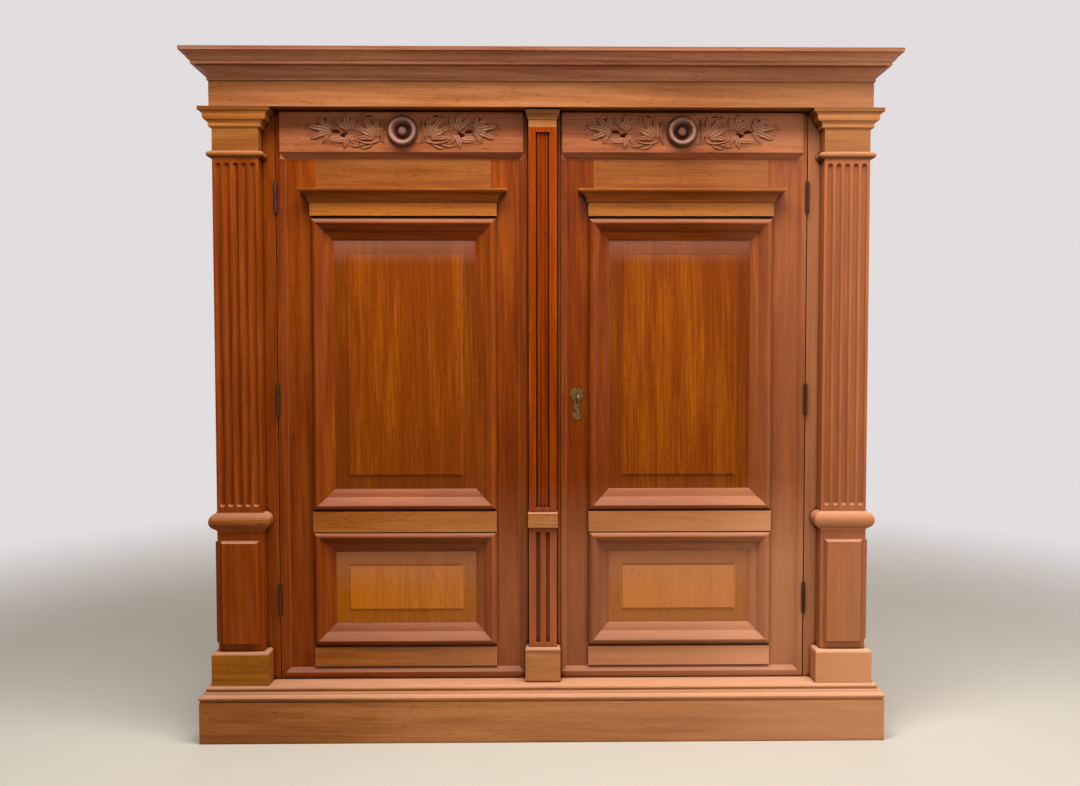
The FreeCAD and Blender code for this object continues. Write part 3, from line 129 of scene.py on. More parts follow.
# Between which places light and shade are painted into the wood, in metres
daylight = {"rightX": (0.45, 0.90), "footZ": (0.74, 0.50), "footX": (-0.60, 0.55), "leftX": (-0.45, -0.85)}


def woodLook(**changes):
    return {**polishedMahogany, **changes}


# Where the boards of mitred and jointed frames meet, in metres
crownLow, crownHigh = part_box("crown_frame")
plinthLow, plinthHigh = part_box("plinth_front_board")
fasciaBack = crownHigh[1] - 0.022                   # front of the board across the fascia's back
sideFrames = {"middleY": 0.084, "halfRail": 0.116}
doorBeads = {"middle": (0.3982, 0.9695), "half": (0.3553, 0.8085)}
panelFrames = {"centreX": 0.395, "halfWidth": 0.2035, "upper": (1.064, 0.3575), "lower": (0.420, 0.1045),
               "between": 0.62}
fieldFrames = {"halfWidth": 0.163, "upper": (1.064, 0.317), "lower": (0.420, 0.064), "slope": 0.006,
               "backY": -0.150}


def pastReach(tree, axis, middle, reach):           # how far a point is past a reach on both sides of a middle
    offset = addNode(tree, "ShaderNodeMath", {0: axis, 1: middle}, operation="SUBTRACT")
    offset = addNode(tree, "ShaderNodeMath", {0: offset.outputs[0]}, operation="ABSOLUTE")
    return addNode(tree, "ShaderNodeMath", {0: offset.outputs[0], 1: reach}, operation="SUBTRACT").outputs[0]


def pastMitre(tree, axes, middles, halves):         # 1 on the boards that run the other way
    first, second = [pastReach(tree, *row) for row in zip(axes, middles, halves)]
    return addNode(tree, "ShaderNodeMath", {0: first, 1: second}, operation="GREATER_THAN").outputs[0]


def upperOrLower(tree, z, lower, upper):            # each door has one panel above the lock band and one below
    isUpper = addNode(tree, "ShaderNodeMath", {0: z, 1: panelFrames["between"]}, operation="GREATER_THAN")
    return addNode(tree, "ShaderNodeMix", {"Factor": isUpper.outputs[0], "A": lower, "B": upper}).outputs[0]


def sideOfCrown(tree, x, y, z):
    return pastMitre(tree, (x, y), (0.0, crownHigh[1]), (crownHigh[0], crownHigh[1] - crownLow[1]))


def sideOfFascia(tree, x, y, z):                    # as the crown, but with a fourth board across the back
    ahead = addNode(tree, "ShaderNodeMath", {0: y, 1: fasciaBack}, operation="LESS_THAN")
    return addNode(tree, "ShaderNodeMath", {0: sideOfCrown(tree, x, y, z), 1: ahead.outputs[0]},
                   operation="MULTIPLY").outputs[0]


def sideOfPlinth(tree, x, y, z):
    return pastMitre(tree, (x, y), (0.0, crownHigh[1]), (plinthHigh[0], crownHigh[1] - plinthLow[1]))


def railOfSide(tree, x, y, z):                      # between the stiles of the cabinet's sides
    past = pastReach(tree, y, sideFrames["middleY"], sideFrames["halfRail"])
    return addNode(tree, "ShaderNodeMath", {0: past, 1: 0.0}, operation="LESS_THAN").outputs[0]


def uprightOfPanel(tree, x, y, z):                  # the moulding round each panel
    across = addNode(tree, "ShaderNodeMath", {0: x}, operation="ABSOLUTE").outputs[0]
    tests = [pastMitre(tree, (across, z), (panelFrames["centreX"], centre), (panelFrames["halfWidth"], half))
             for centre, half in (panelFrames["lower"], panelFrames["upper"])]
    return upperOrLower(tree, z, *tests)


def uprightOfBead(tree, x, y, z):                   # the bead that runs round each door
    across = addNode(tree, "ShaderNodeMath", {0: x}, operation="ABSOLUTE").outputs[0]
    return pastMitre(tree, (across, z), doorBeads["middle"], doorBeads["half"])


def outsideField(tree, x, y, z):                    # 1 on the sunk margin round a panel's raised field
    across = addNode(tree, "ShaderNodeMath", {0: x}, operation="ABSOLUTE").outputs[0]
    beyond = []
    for centre, half in (fieldFrames["lower"], fieldFrames["upper"]):
        far = [pastReach(tree, across, panelFrames["centreX"], fieldFrames["halfWidth"]),
               pastReach(tree, z, centre, half)]
        beyond.append(addNode(tree, "ShaderNodeMath", dict(enumerate(far)), operation="MAXIMUM").outputs[0])
    margin = addNode(tree, "ShaderNodeMapRange", {
        "Value": upperOrLower(tree, z, *beyond), **span((0.0, fieldFrames["slope"]))})
    onFront = addNode(tree, "ShaderNodeMath", {0: y, 1: fieldFrames["backY"]}, operation="LESS_THAN")
    return addNode(tree, "ShaderNodeMath", {0: margin.outputs[0], 1: onFront.outputs[0]},
                   operation="MULTIPLY").outputs[0]


def waxRamp(tree, share, amounts):                  # amounts of a painted tint at shares from 0 to 1
    ramp = addNode(tree, "ShaderNodeValToRGB", {"Fac": share})
    stops = ramp.color_ramp.elements
    stops[0].position, stops[0].color = 0.0, (amounts[0][1],) * 3 + (1.0,)
    stops[1].position, stops[1].color = 1.0, (amounts[-1][1],) * 3 + (1.0,)
    for place, amount in amounts[1:-1]:
        stops.new(place).color = (amount,) * 3 + (1.0,)
    return ramp.outputs["Color"]


def waxOfTurning(tree, xyz, turning):               # the same, by share of a turned rosette's radius
    across = addNode(tree, "ShaderNodeMath", {0: xyz["X"]}, operation="ABSOLUTE")
    flat = addNode(tree, "ShaderNodeCombineXYZ", {"X": across.outputs[0], "Z": xyz["Z"]})
    reach = addNode(tree, "ShaderNodeVectorMath", {
        0: flat.outputs[0], 1: (turning["x"], 0.0, turning["z"])}, operation="DISTANCE")
    share = addNode(tree, "ShaderNodeMath", {0: reach.outputs["Value"], 1: turning["radius"]}, operation="DIVIDE")
    return waxRamp(tree, share.outputs[0], turning["wax"])


grainAxes = {"x": ("Z", "Y", "X"), "y": ("X", "Z", "Y"), "z": ("X", "Y", "Z")}    # across, through, along


# runs: the grain's axis, or two axes and the test that picks the second
def woodMaterial(name, look, runs, seed=0.0):
    material, tree, place = blankMaterial(name)
    xyz = addNode(tree, "ShaderNodeSeparateXYZ", {"Vector": place}).outputs
    habits = woodHabits

    # Space of the grain: third axis along the fibres
    def alongAxis(axis):
        return addNode(tree, "ShaderNodeCombineXYZ", dict(enumerate(xyz[a] for a in grainAxes[axis]))).outputs[0]

    grain = alongAxis(runs[0])
    if len(runs) == 3:
        isOther = runs[2](tree, *[xyz[a] for a in "XYZ"])
        grain = addNode(tree, "ShaderNodeMix", {0: isOther, 4: grain, 5: alongAxis(runs[1])},
                        data_type="VECTOR").outputs[1]
    moved = [start + step * seed for start, step in zip(habits["start"], habits["perSeed"])]
    grain = addNode(tree, "ShaderNodeMapping", {
        "Vector": grain, "Location": moved, "Rotation": habits["runOut"]}).outputs[0]
    if look["boards"]:
        edge, width = look["boards"]
        count = addNode(tree, "ShaderNodeMath", {0: xyz["X"], 1: edge}, operation="SUBTRACT")
        count = addNode(tree, "ShaderNodeMath", {0: count.outputs[0], 1: width}, operation="DIVIDE")
        count = addNode(tree, "ShaderNodeMath", {0: count.outputs[0]}, operation="FLOOR")
        shift = addNode(tree, "ShaderNodeCombineXYZ", {"Y": count.outputs[0], "Z": count.outputs[0]})
        grain = addNode(tree, "ShaderNodeVectorMath", {0: grain, 1: shift.outputs[0]}, operation="ADD").outputs[0]

    layer = {}
    for key in ("wide", "ribbon", "rings", "fibre", "pore"):
        acrossMm, alongMm, detail = look[key]
        scaled = addNode(tree, "ShaderNodeVectorMath", {
            0: grain, 1: (1000 / acrossMm, 1000 / acrossMm, 1000 / alongMm)}, operation="MULTIPLY")
        layer[key] = addNode(tree, "ShaderNodeTexNoise", {
            "Vector": scaled.outputs[0], "Scale": 1.0, "Detail": detail,
            "Roughness": habits["noiseRoughness"]}).outputs["Fac"]

    # Tone of the wood, 0 dark to 1 light
    rings = addNode(tree, "ShaderNodeMath", {0: layer["rings"], 1: look["ringCount"] * 2 * math.pi},
                    operation="MULTIPLY")
    rings = addNode(tree, "ShaderNodeMath", {0: rings.outputs[0]}, operation="SINE")
    tone = addNode(tree, "ShaderNodeMath", {0: rings.outputs[0], 1: look["ringDepth"] / 2, 2: 0.5},
                   operation="MULTIPLY_ADD").outputs[0]
    for key in ("wide", "ribbon", "fibre"):
        centred = addNode(tree, "ShaderNodeMath", {0: layer[key], 1: 0.5}, operation="SUBTRACT")
        tone = addNode(tree, "ShaderNodeMath", {0: centred.outputs[0], 1: look[key + "Depth"], 2: tone},
                       operation="MULTIPLY_ADD").outputs[0]
    if look["palerBelow"]:
        low = addNode(tree, "ShaderNodeMath", {0: xyz["Z"], 1: look["palerBelow"]}, operation="LESS_THAN")
        tone = addNode(tree, "ShaderNodeMath", {0: low.outputs[0], 1: habits["palerStep"], 2: tone},
                       operation="MULTIPLY_ADD").outputs[0]
    ramp = addNode(tree, "ShaderNodeValToRGB", {"Fac": tone})
    stops, (atDark, atMiddle, atLight) = ramp.color_ramp.elements, habits["toneStops"]
    stops[0].position, stops[0].color = atDark, hexColour(look["dark"])
    stops[1].position, stops[1].color = atLight, hexColour(look["light"])
    stops.new(atMiddle).color = hexColour(look["middle"])
    pores = addNode(tree, "ShaderNodeMapRange", {
        "Value": layer["pore"], **span(habits["poreLevels"], look["poreDark"])})

    # Painted light towards the window and its foot, painted shade on the side away from it
    flat = addNode(tree, "ShaderNodeNewGeometry").outputs["Normal"]
    turned = addNode(tree, "ShaderNodeSeparateXYZ", {"Vector": flat}).outputs
    toRight = addNode(tree, "ShaderNodeMapRange", {
        "Value": xyz["X"], **span(daylight["rightX"], look["bleachRight"])})
    toFoot = addNode(tree, "ShaderNodeMapRange", {"Value": xyz["Z"], **span(daylight["footZ"], look["bleachFoot"])})
    footSide = addNode(tree, "ShaderNodeMapRange", {"Value": xyz["X"], **span(daylight["footX"])})
    faded = addNode(tree, "ShaderNodeMath", {0: toFoot.outputs[0], 1: footSide.outputs[0], 2: toRight.outputs[0]},
                    operation="MULTIPLY_ADD")
    toLeft = addNode(tree, "ShaderNodeMapRange", {"Value": xyz["X"], **span(daylight["leftX"], look["leftDeep"])})
    leftward = addNode(tree, "ShaderNodeMapRange", {
        "Value": turned["X"], **span(habits["leftSlope"], look["turnedAway"])})
    deep = addNode(tree, "ShaderNodeMath", {0: toLeft.outputs[0], 1: leftward.outputs[0]}, operation="ADD")

    # Painted shade and old wax darken the corners, and arrises are rubbed pale
    hollow = addNode(tree, "ShaderNodeAmbientOcclusion", {"Distance": look["cornerMm"] / 1000},
                     samples=habits["cornerSamples"]).outputs["AO"]
    corner = addNode(tree, "ShaderNodeMapRange", {
        "Value": hollow, **span((look["cornerFrom"], look["cornerTo"]), look["cornerDepth"])},
        interpolation_type="SMOOTHSTEP")
    rounded = addNode(tree, "ShaderNodeBevel", {"Radius": look["edgeMm"] / 1000}, samples=habits["edgeSamples"])
    facing = addNode(tree, "ShaderNodeVectorMath", {0: rounded.outputs[0], 1: flat}, operation="DOT_PRODUCT")
    edge = addNode(tree, "ShaderNodeMapRange", {
        "Value": facing.outputs["Value"], **span(habits["edgeTurn"], look["edgeWear"])})
    bared = addNode(tree, "ShaderNodeMapRange", {"Value": hollow, **span(habits["openEdge"])})
    worn = addNode(tree, "ShaderNodeMath", {0: edge.outputs[0], 1: bared.outputs[0]}, operation="MULTIPLY")
    worn = addNode(tree, "ShaderNodeMath", {0: worn.outputs[0], 1: layer["ribbon"]}, operation="MULTIPLY")
    worn = addNode(tree, "ShaderNodeMath", {0: worn.outputs[0], 1: habits["wearGain"]}, operation="MULTIPLY",
                   use_clamp=True)

    # Tops: painted light and dust; undersides: painted shade
    dull = addNode(tree, "ShaderNodeMapRange", {"Value": turned["Z"], **span(habits["dustySlope"])})
    dusty = addNode(tree, "ShaderNodeMath", {0: dull.outputs[0], 1: look["topFade"]}, operation="MULTIPLY")
    under = addNode(tree, "ShaderNodeMapRange", {
        "Value": turned["Z"], **span(habits["underSlope"], look["darkUnder"])})
    level = addNode(tree, "ShaderNodeMapRange", {
        "Value": turned["Z"], **span(habits["levelSlope"], look["levelShade"])})

    tints = [(pores.outputs[0], look["cornerWax"]), (faded.outputs[0], look["sunBleach"]),
             (deep.outputs[0], look["keptDeep"])]
    if look["margin"]:
        inMargin = look["margin"](tree, *[xyz[a] for a in "XYZ"])
        inMargin = addNode(tree, "ShaderNodeMath", {0: inMargin, 1: look["marginShade"]}, operation="MULTIPLY")
        tints.append((inMargin.outputs[0], look["marginWood"]))
    if look["turned"]:
        tints.append((waxOfTurning(tree, xyz, look["turned"]), look["cornerWax"]))
    if look["heightWax"]:
        foot, head, amounts = look["heightWax"]
        share = addNode(tree, "ShaderNodeMapRange", {"Value": xyz["Z"], **span((foot, head))})
        onFront = addNode(tree, "ShaderNodeMath", {0: xyz["Y"], 1: look["frontOf"]}, operation="LESS_THAN")
        film = addNode(tree, "ShaderNodeMath", {
            0: waxRamp(tree, share.outputs[0], amounts), 1: onFront.outputs[0]}, operation="MULTIPLY")
        tints.append((film.outputs[0], look["heightTint"]))
    if look["rubbedFront"]:
        start, full, share = look["rubbedFront"]
        proud = addNode(tree, "ShaderNodeMapRange", {"Value": xyz["Y"], **span((start, full), share)})
        tints.append((proud.outputs[0], look["rubbedEdge"]))
    tints += [(under.outputs[0], look["cornerWax"]), (dusty.outputs[0], look["dustyTop"]),
              (worn.outputs[0], look["rubbedEdge"]), (level.outputs[0], look["cornerWax"]),
              (corner.outputs[0], look["cornerWax"])]
    colour = ramp.outputs["Color"]
    for factor, tint in tints:
        colour = addNode(tree, "ShaderNodeMix", {0: factor, 6: colour, 7: hexColour(tint)},
                         data_type="RGBA").outputs[2]

    roughness = addNode(tree, "ShaderNodeMapRange", {
        "Value": layer["ribbon"], **span(habits["ribbonLevels"], look["roughness"] + habits["rougher"]),
        "To Min": look["roughness"] - habits["smoother"]})
    for matt, more in ((corner, habits["cornerMatt"]), (dull, look["dustMatt"])):
        roughness = addNode(tree, "ShaderNodeMath", {0: matt.outputs[0], 1: more, 2: roughness.outputs[0]},
                            operation="MULTIPLY_ADD")
    polish = addNode(tree, "ShaderNodeMapRange", {
        "Value": dull.outputs[0], "To Min": look["coat"], "To Max": look["coat"] * habits["coatInDust"]})
    relief = addNode(tree, "ShaderNodeMath", {0: pores.outputs[0], 1: habits["poreRelief"], 2: layer["fibre"]},
                     operation="MULTIPLY_ADD")
    bump = addNode(tree, "ShaderNodeBump", {
        "Height": relief.outputs[0], "Distance": look["bumpMm"] / 1000, "Strength": habits["bumpStrength"]})
    shader = addNode(tree, "ShaderNodeBsdfPrincipled", {
        "Base Color": colour, "Roughness": roughness.outputs[0], "Normal": bump.outputs[0], "IOR": 1.5,
        "Specular IOR Level": look["gloss"], "Coat Weight": polish.outputs[0],
        "Coat Roughness": look["coatRoughness"]})
    addNode(tree, "ShaderNodeOutputMaterial", {"Surface": shader.outputs[0]})
    return material


# Boards of the doors lie behind the crown: painted shade keeps them the deepest colour
doorWood = woodLook(dark="#4e1900", middle="#702c00", light="#8f4608", cornerMm=20, cornerFrom=0.90,
                    topFade=0.16, leftDeep=0.36, levelShade=0.75)
# Fascia, plinth, capitals and blocks stand forward and are painted paler, as lit
frontWood = woodLook(dark="#6e3a18", middle="#955b2a", light="#af7142", cornerDepth=0.85)
# Door panels: wide boards with fine even ribbon figure; a pink painted sheen at the head of each, painted shade on
# the upward bevels and in the margin
panelWood = woodLook(
    dark="#582000", middle="#702f00", light="#a85d06", ribbon=(6, 700, 2.0), ringCount=4, ringDepth=0.08,
    ribbonDepth=0.34, fibreDepth=0.44, wideDepth=0.40, roughness=0.42, coat=0.06, coatRoughness=0.34,
    dustyTop="#381602", topFade=0.70, cornerMm=26, palerBelow=0.60, bleachRight=0.0, margin=outsideField,
    marginShade=0.36, heightTint="#b07a66", frontOf=fieldFrames["backY"], heightWax=(0.30, 1.43, [
        (0.0, 0.0), (0.09, 0.0), (0.20, 0.30), (0.24, 0.0), (0.93, 0.0), (0.97, 0.16), (0.99, 0.32), (1.0, 0.32)]))
# Pine inside: planed, never polished, yellow brown with long clear rings
plainPine = woodLook(
    dark="#8a6136", middle="#b48a56", light="#cfab78", cornerWax="#4a3017", rubbedEdge="#d9bd8c",
    fibre=(3.2, 480, 3.0), rings=(150, 2400, 1.0), ringCount=7, ringDepth=0.26, fibreDepth=0.44, poreDark=0.15,
    roughness=0.58, gloss=0.30, coat=0.0, edgeWear=0.30, bumpMm=0.30, bleachRight=0.0, bleachFoot=0.0,
    leftDeep=0.0, turnedAway=0.0, topFade=0.10)
backLow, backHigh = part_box("back_boards")
backBoard = {**plainPine, "dark": "#7a5530", "middle": "#a37d4d", "light": "#bf9b6a",
             "boards": (backLow[0], (backHigh[0] - backLow[0]) / 6)}
# Nobody wipes the lid behind the crown: grey brown with dust
dustyLid = {**plainPine, "dark": "#403221", "middle": "#59472f", "light": "#6c5a3d", "dustyTop": "#6e665b",
            "topFade": 0.40}

# Painted shade on the crown: its top fillet and coves darkened, its bead between them left clear
crownWax = (crownHigh[2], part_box("crown_moulding")[1][2], [
    (0.0, 0.10), (0.40, 0.16), (0.46, 0.36), (0.475, 0.0), (0.585, 0.0), (0.62, 0.0), (0.85, 0.14),
    (0.875, 0.56), (1.0, 0.68)])
# Painted shade on the capitals: darker over their lower part and at the top fillet
capitalWax = (*[corner[2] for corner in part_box("left_capital")], [
    (0.0, 0.34), (0.07, 0.18), (0.13, 0.28), (0.16, 0.28), (0.57, 0.26), (0.60, 0.0), (0.92, 0.0), (0.935, 0.36),
    (1.0, 0.46)])
# Painted shade on a rosette: a dim button, a black hollow and a dark rim, a pale rubbed ring between
rosetteTurning = {"x": 0.395, "z": 1.723, "radius": 0.0445, "wax": [
    (0.0, 0.35), (0.22, 0.45), (0.30, 0.96), (0.50, 0.92), (0.58, 0.16), (0.80, 0.06), (0.89, 0.72), (1.0, 0.85)]}
# Under the small cornices runs a paler strip
stripTop = sum(corner[2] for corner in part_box("left_door_entablature")) / 2


def ofBothDoors(*parts):
    return [f"{door}_{part}" for part in parts for door in ("left_door", "right_door")]


# name: (look, grain, seed, nodes), with what each one gives the eye
woodPlan = {
    # deep red, straight ribbons up the doors
    "mahoganyStiles": (doorWood, ("z",), 0.0, ofBothDoors("stiles")),
    # a plainer brown across them
    "mahoganyRails": (woodLook(dark="#5f2a08", middle="#7e461b", light="#985b2b"), ("x",), 0.6,
                      ofBothDoors("rails")),
    # paler strips, with strong painted light towards the window and the foot
    "mahoganyBands": (woodLook(dark="#662d02", middle="#8a4d14", light="#a5652a", leftDeep=0.0, bleachRight=0.50,
                               bleachFoot=0.62), ("x",), 1.3, ofBothDoors("bands")),
    # small cornices, painted shade in the hollow over a clear strip
    "mahoganyEntablature": (woodLook(dark="#602400", middle="#87420b", light="#ac6424", darkUnder=0.28,
                                     palerBelow=stripTop), ("x",), 2.1, ofBothDoors("entablature")),
    # the ground of the carving, dull and pinkish between the leaves
    "mahoganyFrieze": (woodLook(dark="#6a3018", middle="#93522e", light="#a96842", cornerDepth=0.92, leftDeep=0.06,
                                levelShade=0.75), ("x",), 2.7, ofBothDoors("frieze")),
    # turned on the lathe: rings of painted shade and rubbed wood
    "turnedRosettes": (woodLook(dark="#6b4635", middle="#8b6350", light="#a67c66", cornerMm=12, topFade=0.0,
                                darkUnder=0.0, cornerWax="#360c04", turned=rosetteTurning), ("x",), 3.0,
                       ofBothDoors("rosette")),
    # deep red, the grain turning at each mitre
    "mahoganyPanelMouldings": (doorWood, ("x", "z", uprightOfPanel), 3.4, ofBothDoors("panel_mouldings")),
    # orange brown figure, its margin darkened with painted shade
    "figuredPanels": (panelWood, ("z",), 4.2, ofBothDoors("panels")),
    "mahoganyBeads": (doorWood, ("x", "z", uprightOfBead), 4.9, ofBothDoors("edge_beads")),
    # the richest red, and less gloss than the doors
    "mahoganyCentrePilaster": (woodLook(dark="#561a00", middle="#7d2e00", light="#9c4805", cornerMm=20,
                                        cornerFrom=0.90, topFade=0.16, gloss=0.02, coat=0.04), ("z",), 5.5,
                               ["centre_pilaster_shafts"]),
    "mahoganyCentreBlocks": (frontWood, ("x",), 5.9, ["centre_pilaster_blocks", "centre_pilaster_cap"]),
    # flutes with painted shade in the hollows and bright ribs
    "mahoganyShafts": (woodLook(dark="#5a1f00", middle="#803600", light="#9c5010", bleachFoot=0.10), ("z",), 6.4,
                       ["left_fluted_shaft", "right_fluted_shaft", "left_pedestal", "right_pedestal"]),
    # painted shade at the left, painted light at the right
    "mahoganyPosts": (woodLook(dark="#541c00", middle="#783402", light="#944d12", bleachFoot=0.08,
                               bleachRight=0.42), ("z",), 6.8, ["left_corner_post", "right_corner_post"]),
    # gold brown, painted shade in the hollows
    "mahoganyCapitals": (woodLook(dark="#662c06", middle="#8c501c", light="#a8692e", leftDeep=0.14, topFade=0.10,
                                  darkUnder=0.60, heightWax=capitalWax), ("x",), 7.1,
                         ["left_capital", "right_capital"]),
    "mahoganyToruses": (woodLook(dark="#662a06", middle="#8c4c1a", light="#a8642c", leftDeep=0.16, topFade=0.18),
                        ("x",), 7.3, ["left_torus", "right_torus"]),
    # the clearest orange brown, painted light at the right
    "mahoganyBases": (woodLook(dark="#6e3a0c", middle="#965b18", light="#b0722c", cornerDepth=0.85, gloss=0.02,
                               coat=0.04, bleachRight=0.40), ("x",), 7.7, ["left_base_block", "right_base_block"]),
    # pale pinkish bead between coves darkened with painted shade
    "mahoganyCrown": (woodLook(dark="#82452c", middle="#b07050", light="#c88e6c", darkUnder=0.0, topFade=0.06,
                               coat=0.05, heightWax=crownWax), ("x", "y", sideOfCrown), 8.3, ["crown_moulding"]),
    # paler than the doors, as painted light on a board that stands forward
    "mahoganyFascia": (woodLook(dark="#6f3c1e", middle="#955a30", light="#ae7148", cornerDepth=0.85),
                       ("x", "y", sideOfFascia), 8.9, ["crown_frame"]),
    # an even mid brown, ledge and boards alike
    "mahoganyPlinth": (frontWood, ("x", "y", sideOfPlinth), 9.4,
                       ["plinth_front_board", "plinth_side_boards", "plinth_frame"]),
    # unfaded red sides
    "mahoganySides": (doorWood, ("z", "y", railOfSide), 10.2, ["left_side_frame", "right_side_frame"]),
    "mahoganySidePanels": (woodLook(dark="#592300", middle="#793b06", light="#935012"), ("z",), 10.8,
                           ["side_panels"]),
    # dry yellow brown boards, each with its own figure
    "pineBackBoards": (backBoard, ("z",), 11.5, ["back_boards"]),
    "dustyPineLid": (dustyLid, ("x",), 11.8, ["crown_lid"]),
    # nearly black, as painted shade behind the doors' heads
    "mahoganyTopBoard": (woodLook(dark="#3c1500", middle="#572403", light="#6d340c"), ("x",), 11.1,
                         ["top_board", "top_rail"]),
    # light, plain and matt
    "pineShelves": (plainPine, ("x",), 12.1, ["shelf_1", "shelf_2", "shelf_3", "floor_board", "plinth_back_board"]),
    "pineCleats": (plainPine, ("y",), 12.8, ["shelf_cleats"]),
}
for name, (look, runs, seed, wanted) in woodPlan.items():
    dress(woodMaterial(name, look, runs, seed), wanted)
print("wood:", len(woodPlan), "materials")


# Cast brass gone brown: dull olive in its hollows, soft gold where it is rubbed
agedBrass = {"dark": "#2b1c0c", "bright": "#7d5c34", "roughness": 0.42, "grainMm": 6, "pitMm": 1.2,
             "metallic": 0.9, "bumpMm": 0.12}
# Forged steel with a dark oiled skin: grey brown with small pits
oiledSteel = {"dark": "#241710", "bright": "#5c4c42", "roughness": 0.46, "grainMm": 9, "pitMm": 1.5,
              "metallic": 1.0, "bumpMm": 0.10}
# Wrought iron hinges, waxed over with the doors until they are as brown as the wood beside them
brownedIron = {"dark": "#1c0f07", "bright": "#4a2a17", "roughness": 0.60, "grainMm": 8, "pitMm": 1.5,
               "metallic": 0.7, "bumpMm": 0.12}
metalHabits = {"cornerMm": 6, "cornerSamples": 8, "rubbed": (0.22, 0.62), "rougher": 0.14, "smoother": 0.08,
               "bumpStrength": 0.6}


def metalMaterial(name, look):
    material, tree, place = blankMaterial(name)
    cloud = addNode(tree, "ShaderNodeTexNoise", {
        "Vector": place, "Scale": 1000 / look["grainMm"], "Detail": 4.0}).outputs["Fac"]
    pits = addNode(tree, "ShaderNodeTexNoise", {
        "Vector": place, "Scale": 1000 / look["pitMm"], "Detail": 2.0}).outputs["Fac"]
    hollow = addNode(tree, "ShaderNodeAmbientOcclusion", {"Distance": metalHabits["cornerMm"] / 1000},
                     samples=metalHabits["cornerSamples"])
    clean = addNode(tree, "ShaderNodeMath", {0: hollow.outputs["AO"], 1: cloud}, operation="MULTIPLY")
    share = addNode(tree, "ShaderNodeMapRange", {"Value": clean.outputs[0], **span(metalHabits["rubbed"])})
    ramp = addNode(tree, "ShaderNodeValToRGB", {"Fac": share.outputs[0]})
    ramp.color_ramp.elements[0].color = hexColour(look["dark"])
    ramp.color_ramp.elements[1].color = hexColour(look["bright"])
    roughness = addNode(tree, "ShaderNodeMapRange", {
        "Value": share.outputs[0], "To Min": look["roughness"] + metalHabits["rougher"],
        "To Max": look["roughness"] - metalHabits["smoother"]})
    bump = addNode(tree, "ShaderNodeBump", {
        "Height": pits, "Distance": look["bumpMm"] / 1000, "Strength": metalHabits["bumpStrength"]})
    shader = addNode(tree, "ShaderNodeBsdfPrincipled", {
        "Base Color": ramp.outputs["Color"], "Metallic": look["metallic"],
        "Roughness": roughness.outputs[0], "Normal": bump.outputs[0]})
    addNode(tree, "ShaderNodeOutputMaterial", {"Surface": shader.outputs[0]})
    return material


brass = metalMaterial("agedBrass", agedBrass)
steel = metalMaterial("oiledSteel", oiledSteel)
browned = metalMaterial("brownedIron", brownedIron)
dress(brass, ["keyhole_plate", "key"])
dress(browned, ["post_hinge_halves", *ofBothDoors("hinge_halves")])
dress(steel, ["lock_case", "lock_bolt", "left_door_top_bolt", "left_door_foot_bolt"])
print("metal: brass, iron and steel")


# One side of the ornament: outward from the rosette's middle, then up, in millimetres. Both sides of each
# rosette and both doors carry the same leaves, mirrored.
friezeCarving = {
    "rosetteX": 0.395, "rosetteZ": 1.723, "faceY": -0.176, "sunkMm": 0.8, "steps": 24, "across": 10,
    # (spine, half width, rise, lobes, how early the leaf is widest)
    "leaves": [
        ([(51, -36), (63, -14), (63, 14), (51, 38)], 5.0, 6.0, 0, 1.0),          # crescents round the rosette
        ([(62, -31), (74, -12), (74, 12), (63, 33)], 3.0, 3.6, 0, 1.0),
        ([(64, -24), (88, -40), (122, -34), (150, -9)], 3.2, 4.6, 0, 0.8),       # stem
        ([(108, -33), (120, -42), (136, -44), (152, -36)], 4.6, 4.0, 2, 0.7),    # small leaves under it
        ([(84, -32), (92, -44), (106, -48), (120, -47)], 3.8, 3.4, 0, 0.7),
        ([(68, -10), (110, 14), (160, 20), (208, 10)], 24.0, 2.0, 6, 0.9),       # low leaf mass behind the fans
        ([(120, -26), (165, -34), (215, -26), (262, 0)], 17.0, 1.8, 5, 0.8),
        ([(150, -15), (166, -28), (190, -31), (214, -21)], 8.5, 5.6, 3, 0.75),   # leaf under the two cuts
    ],
    # Leaves that spread from one root: (root, middle angle, curl, [(angle, start, length, half width, rise)])
    "fans": [
        ((72, -20), 60, 0.30, [(110, 5, 50, 9.0, 4.6), (84, 6, 64, 12.0, 6.0), (58, 6, 72, 13.0, 6.8),
                               (32, 6, 74, 12.0, 6.6), (8, 8, 60, 9.0, 5.2)]),
        ((146, -2), 12, 0.24, [(126, 4, 42, 9.5, 5.0), (96, 6, 48, 11.5, 6.4), (66, 6, 56, 12.5, 7.4),
                               (38, 8, 64, 11.5, 7.0), (-60, 8, 50, 10.5, 6.0), (-92, 6, 36, 8.5, 5.0)]),
        ((198, 3), 6, 0.30, [(62, 5, 42, 9.0, 6.2), (36, 3, 58, 11.0, 7.0), (9, 3, 74, 11.5, 7.2),
                             (-18, 3, 66, 10.5, 6.8), (-46, 4, 46, 8.5, 5.6)]),
    ],
    # Short cuts between the folds, painted nearly black as their shadow
    "cuts": [
        ([(155, -3), (164, -11), (176, -9)], 5.4, 3.6, 0, 1.0), ([(176, -4), (186, 5), (199, -1)], 5.0, 3.6, 0, 1.0),
        ([(84, 40), (93, 45), (104, 42)], 2.2, 0.6, 0, 1.0), ([(126, 20), (133, 28), (139, 38)], 2.4, 2.8, 0, 1.0),
        ([(204, 31), (212, 37), (222, 34)], 2.4, 1.2, 0, 1.0), ([(236, 15), (245, 19), (253, 15)], 1.8, 2.4, 0, 1.0),
    ],
    # (outward, up, share of the head radius)
    "berries": [(120, 40, 3.2), (112, 44, 2.6), (274, 8, 2.6), (268, 20, 2.2), (266, -8, 2.2)],
    "berryProudMm": 1.5,
}
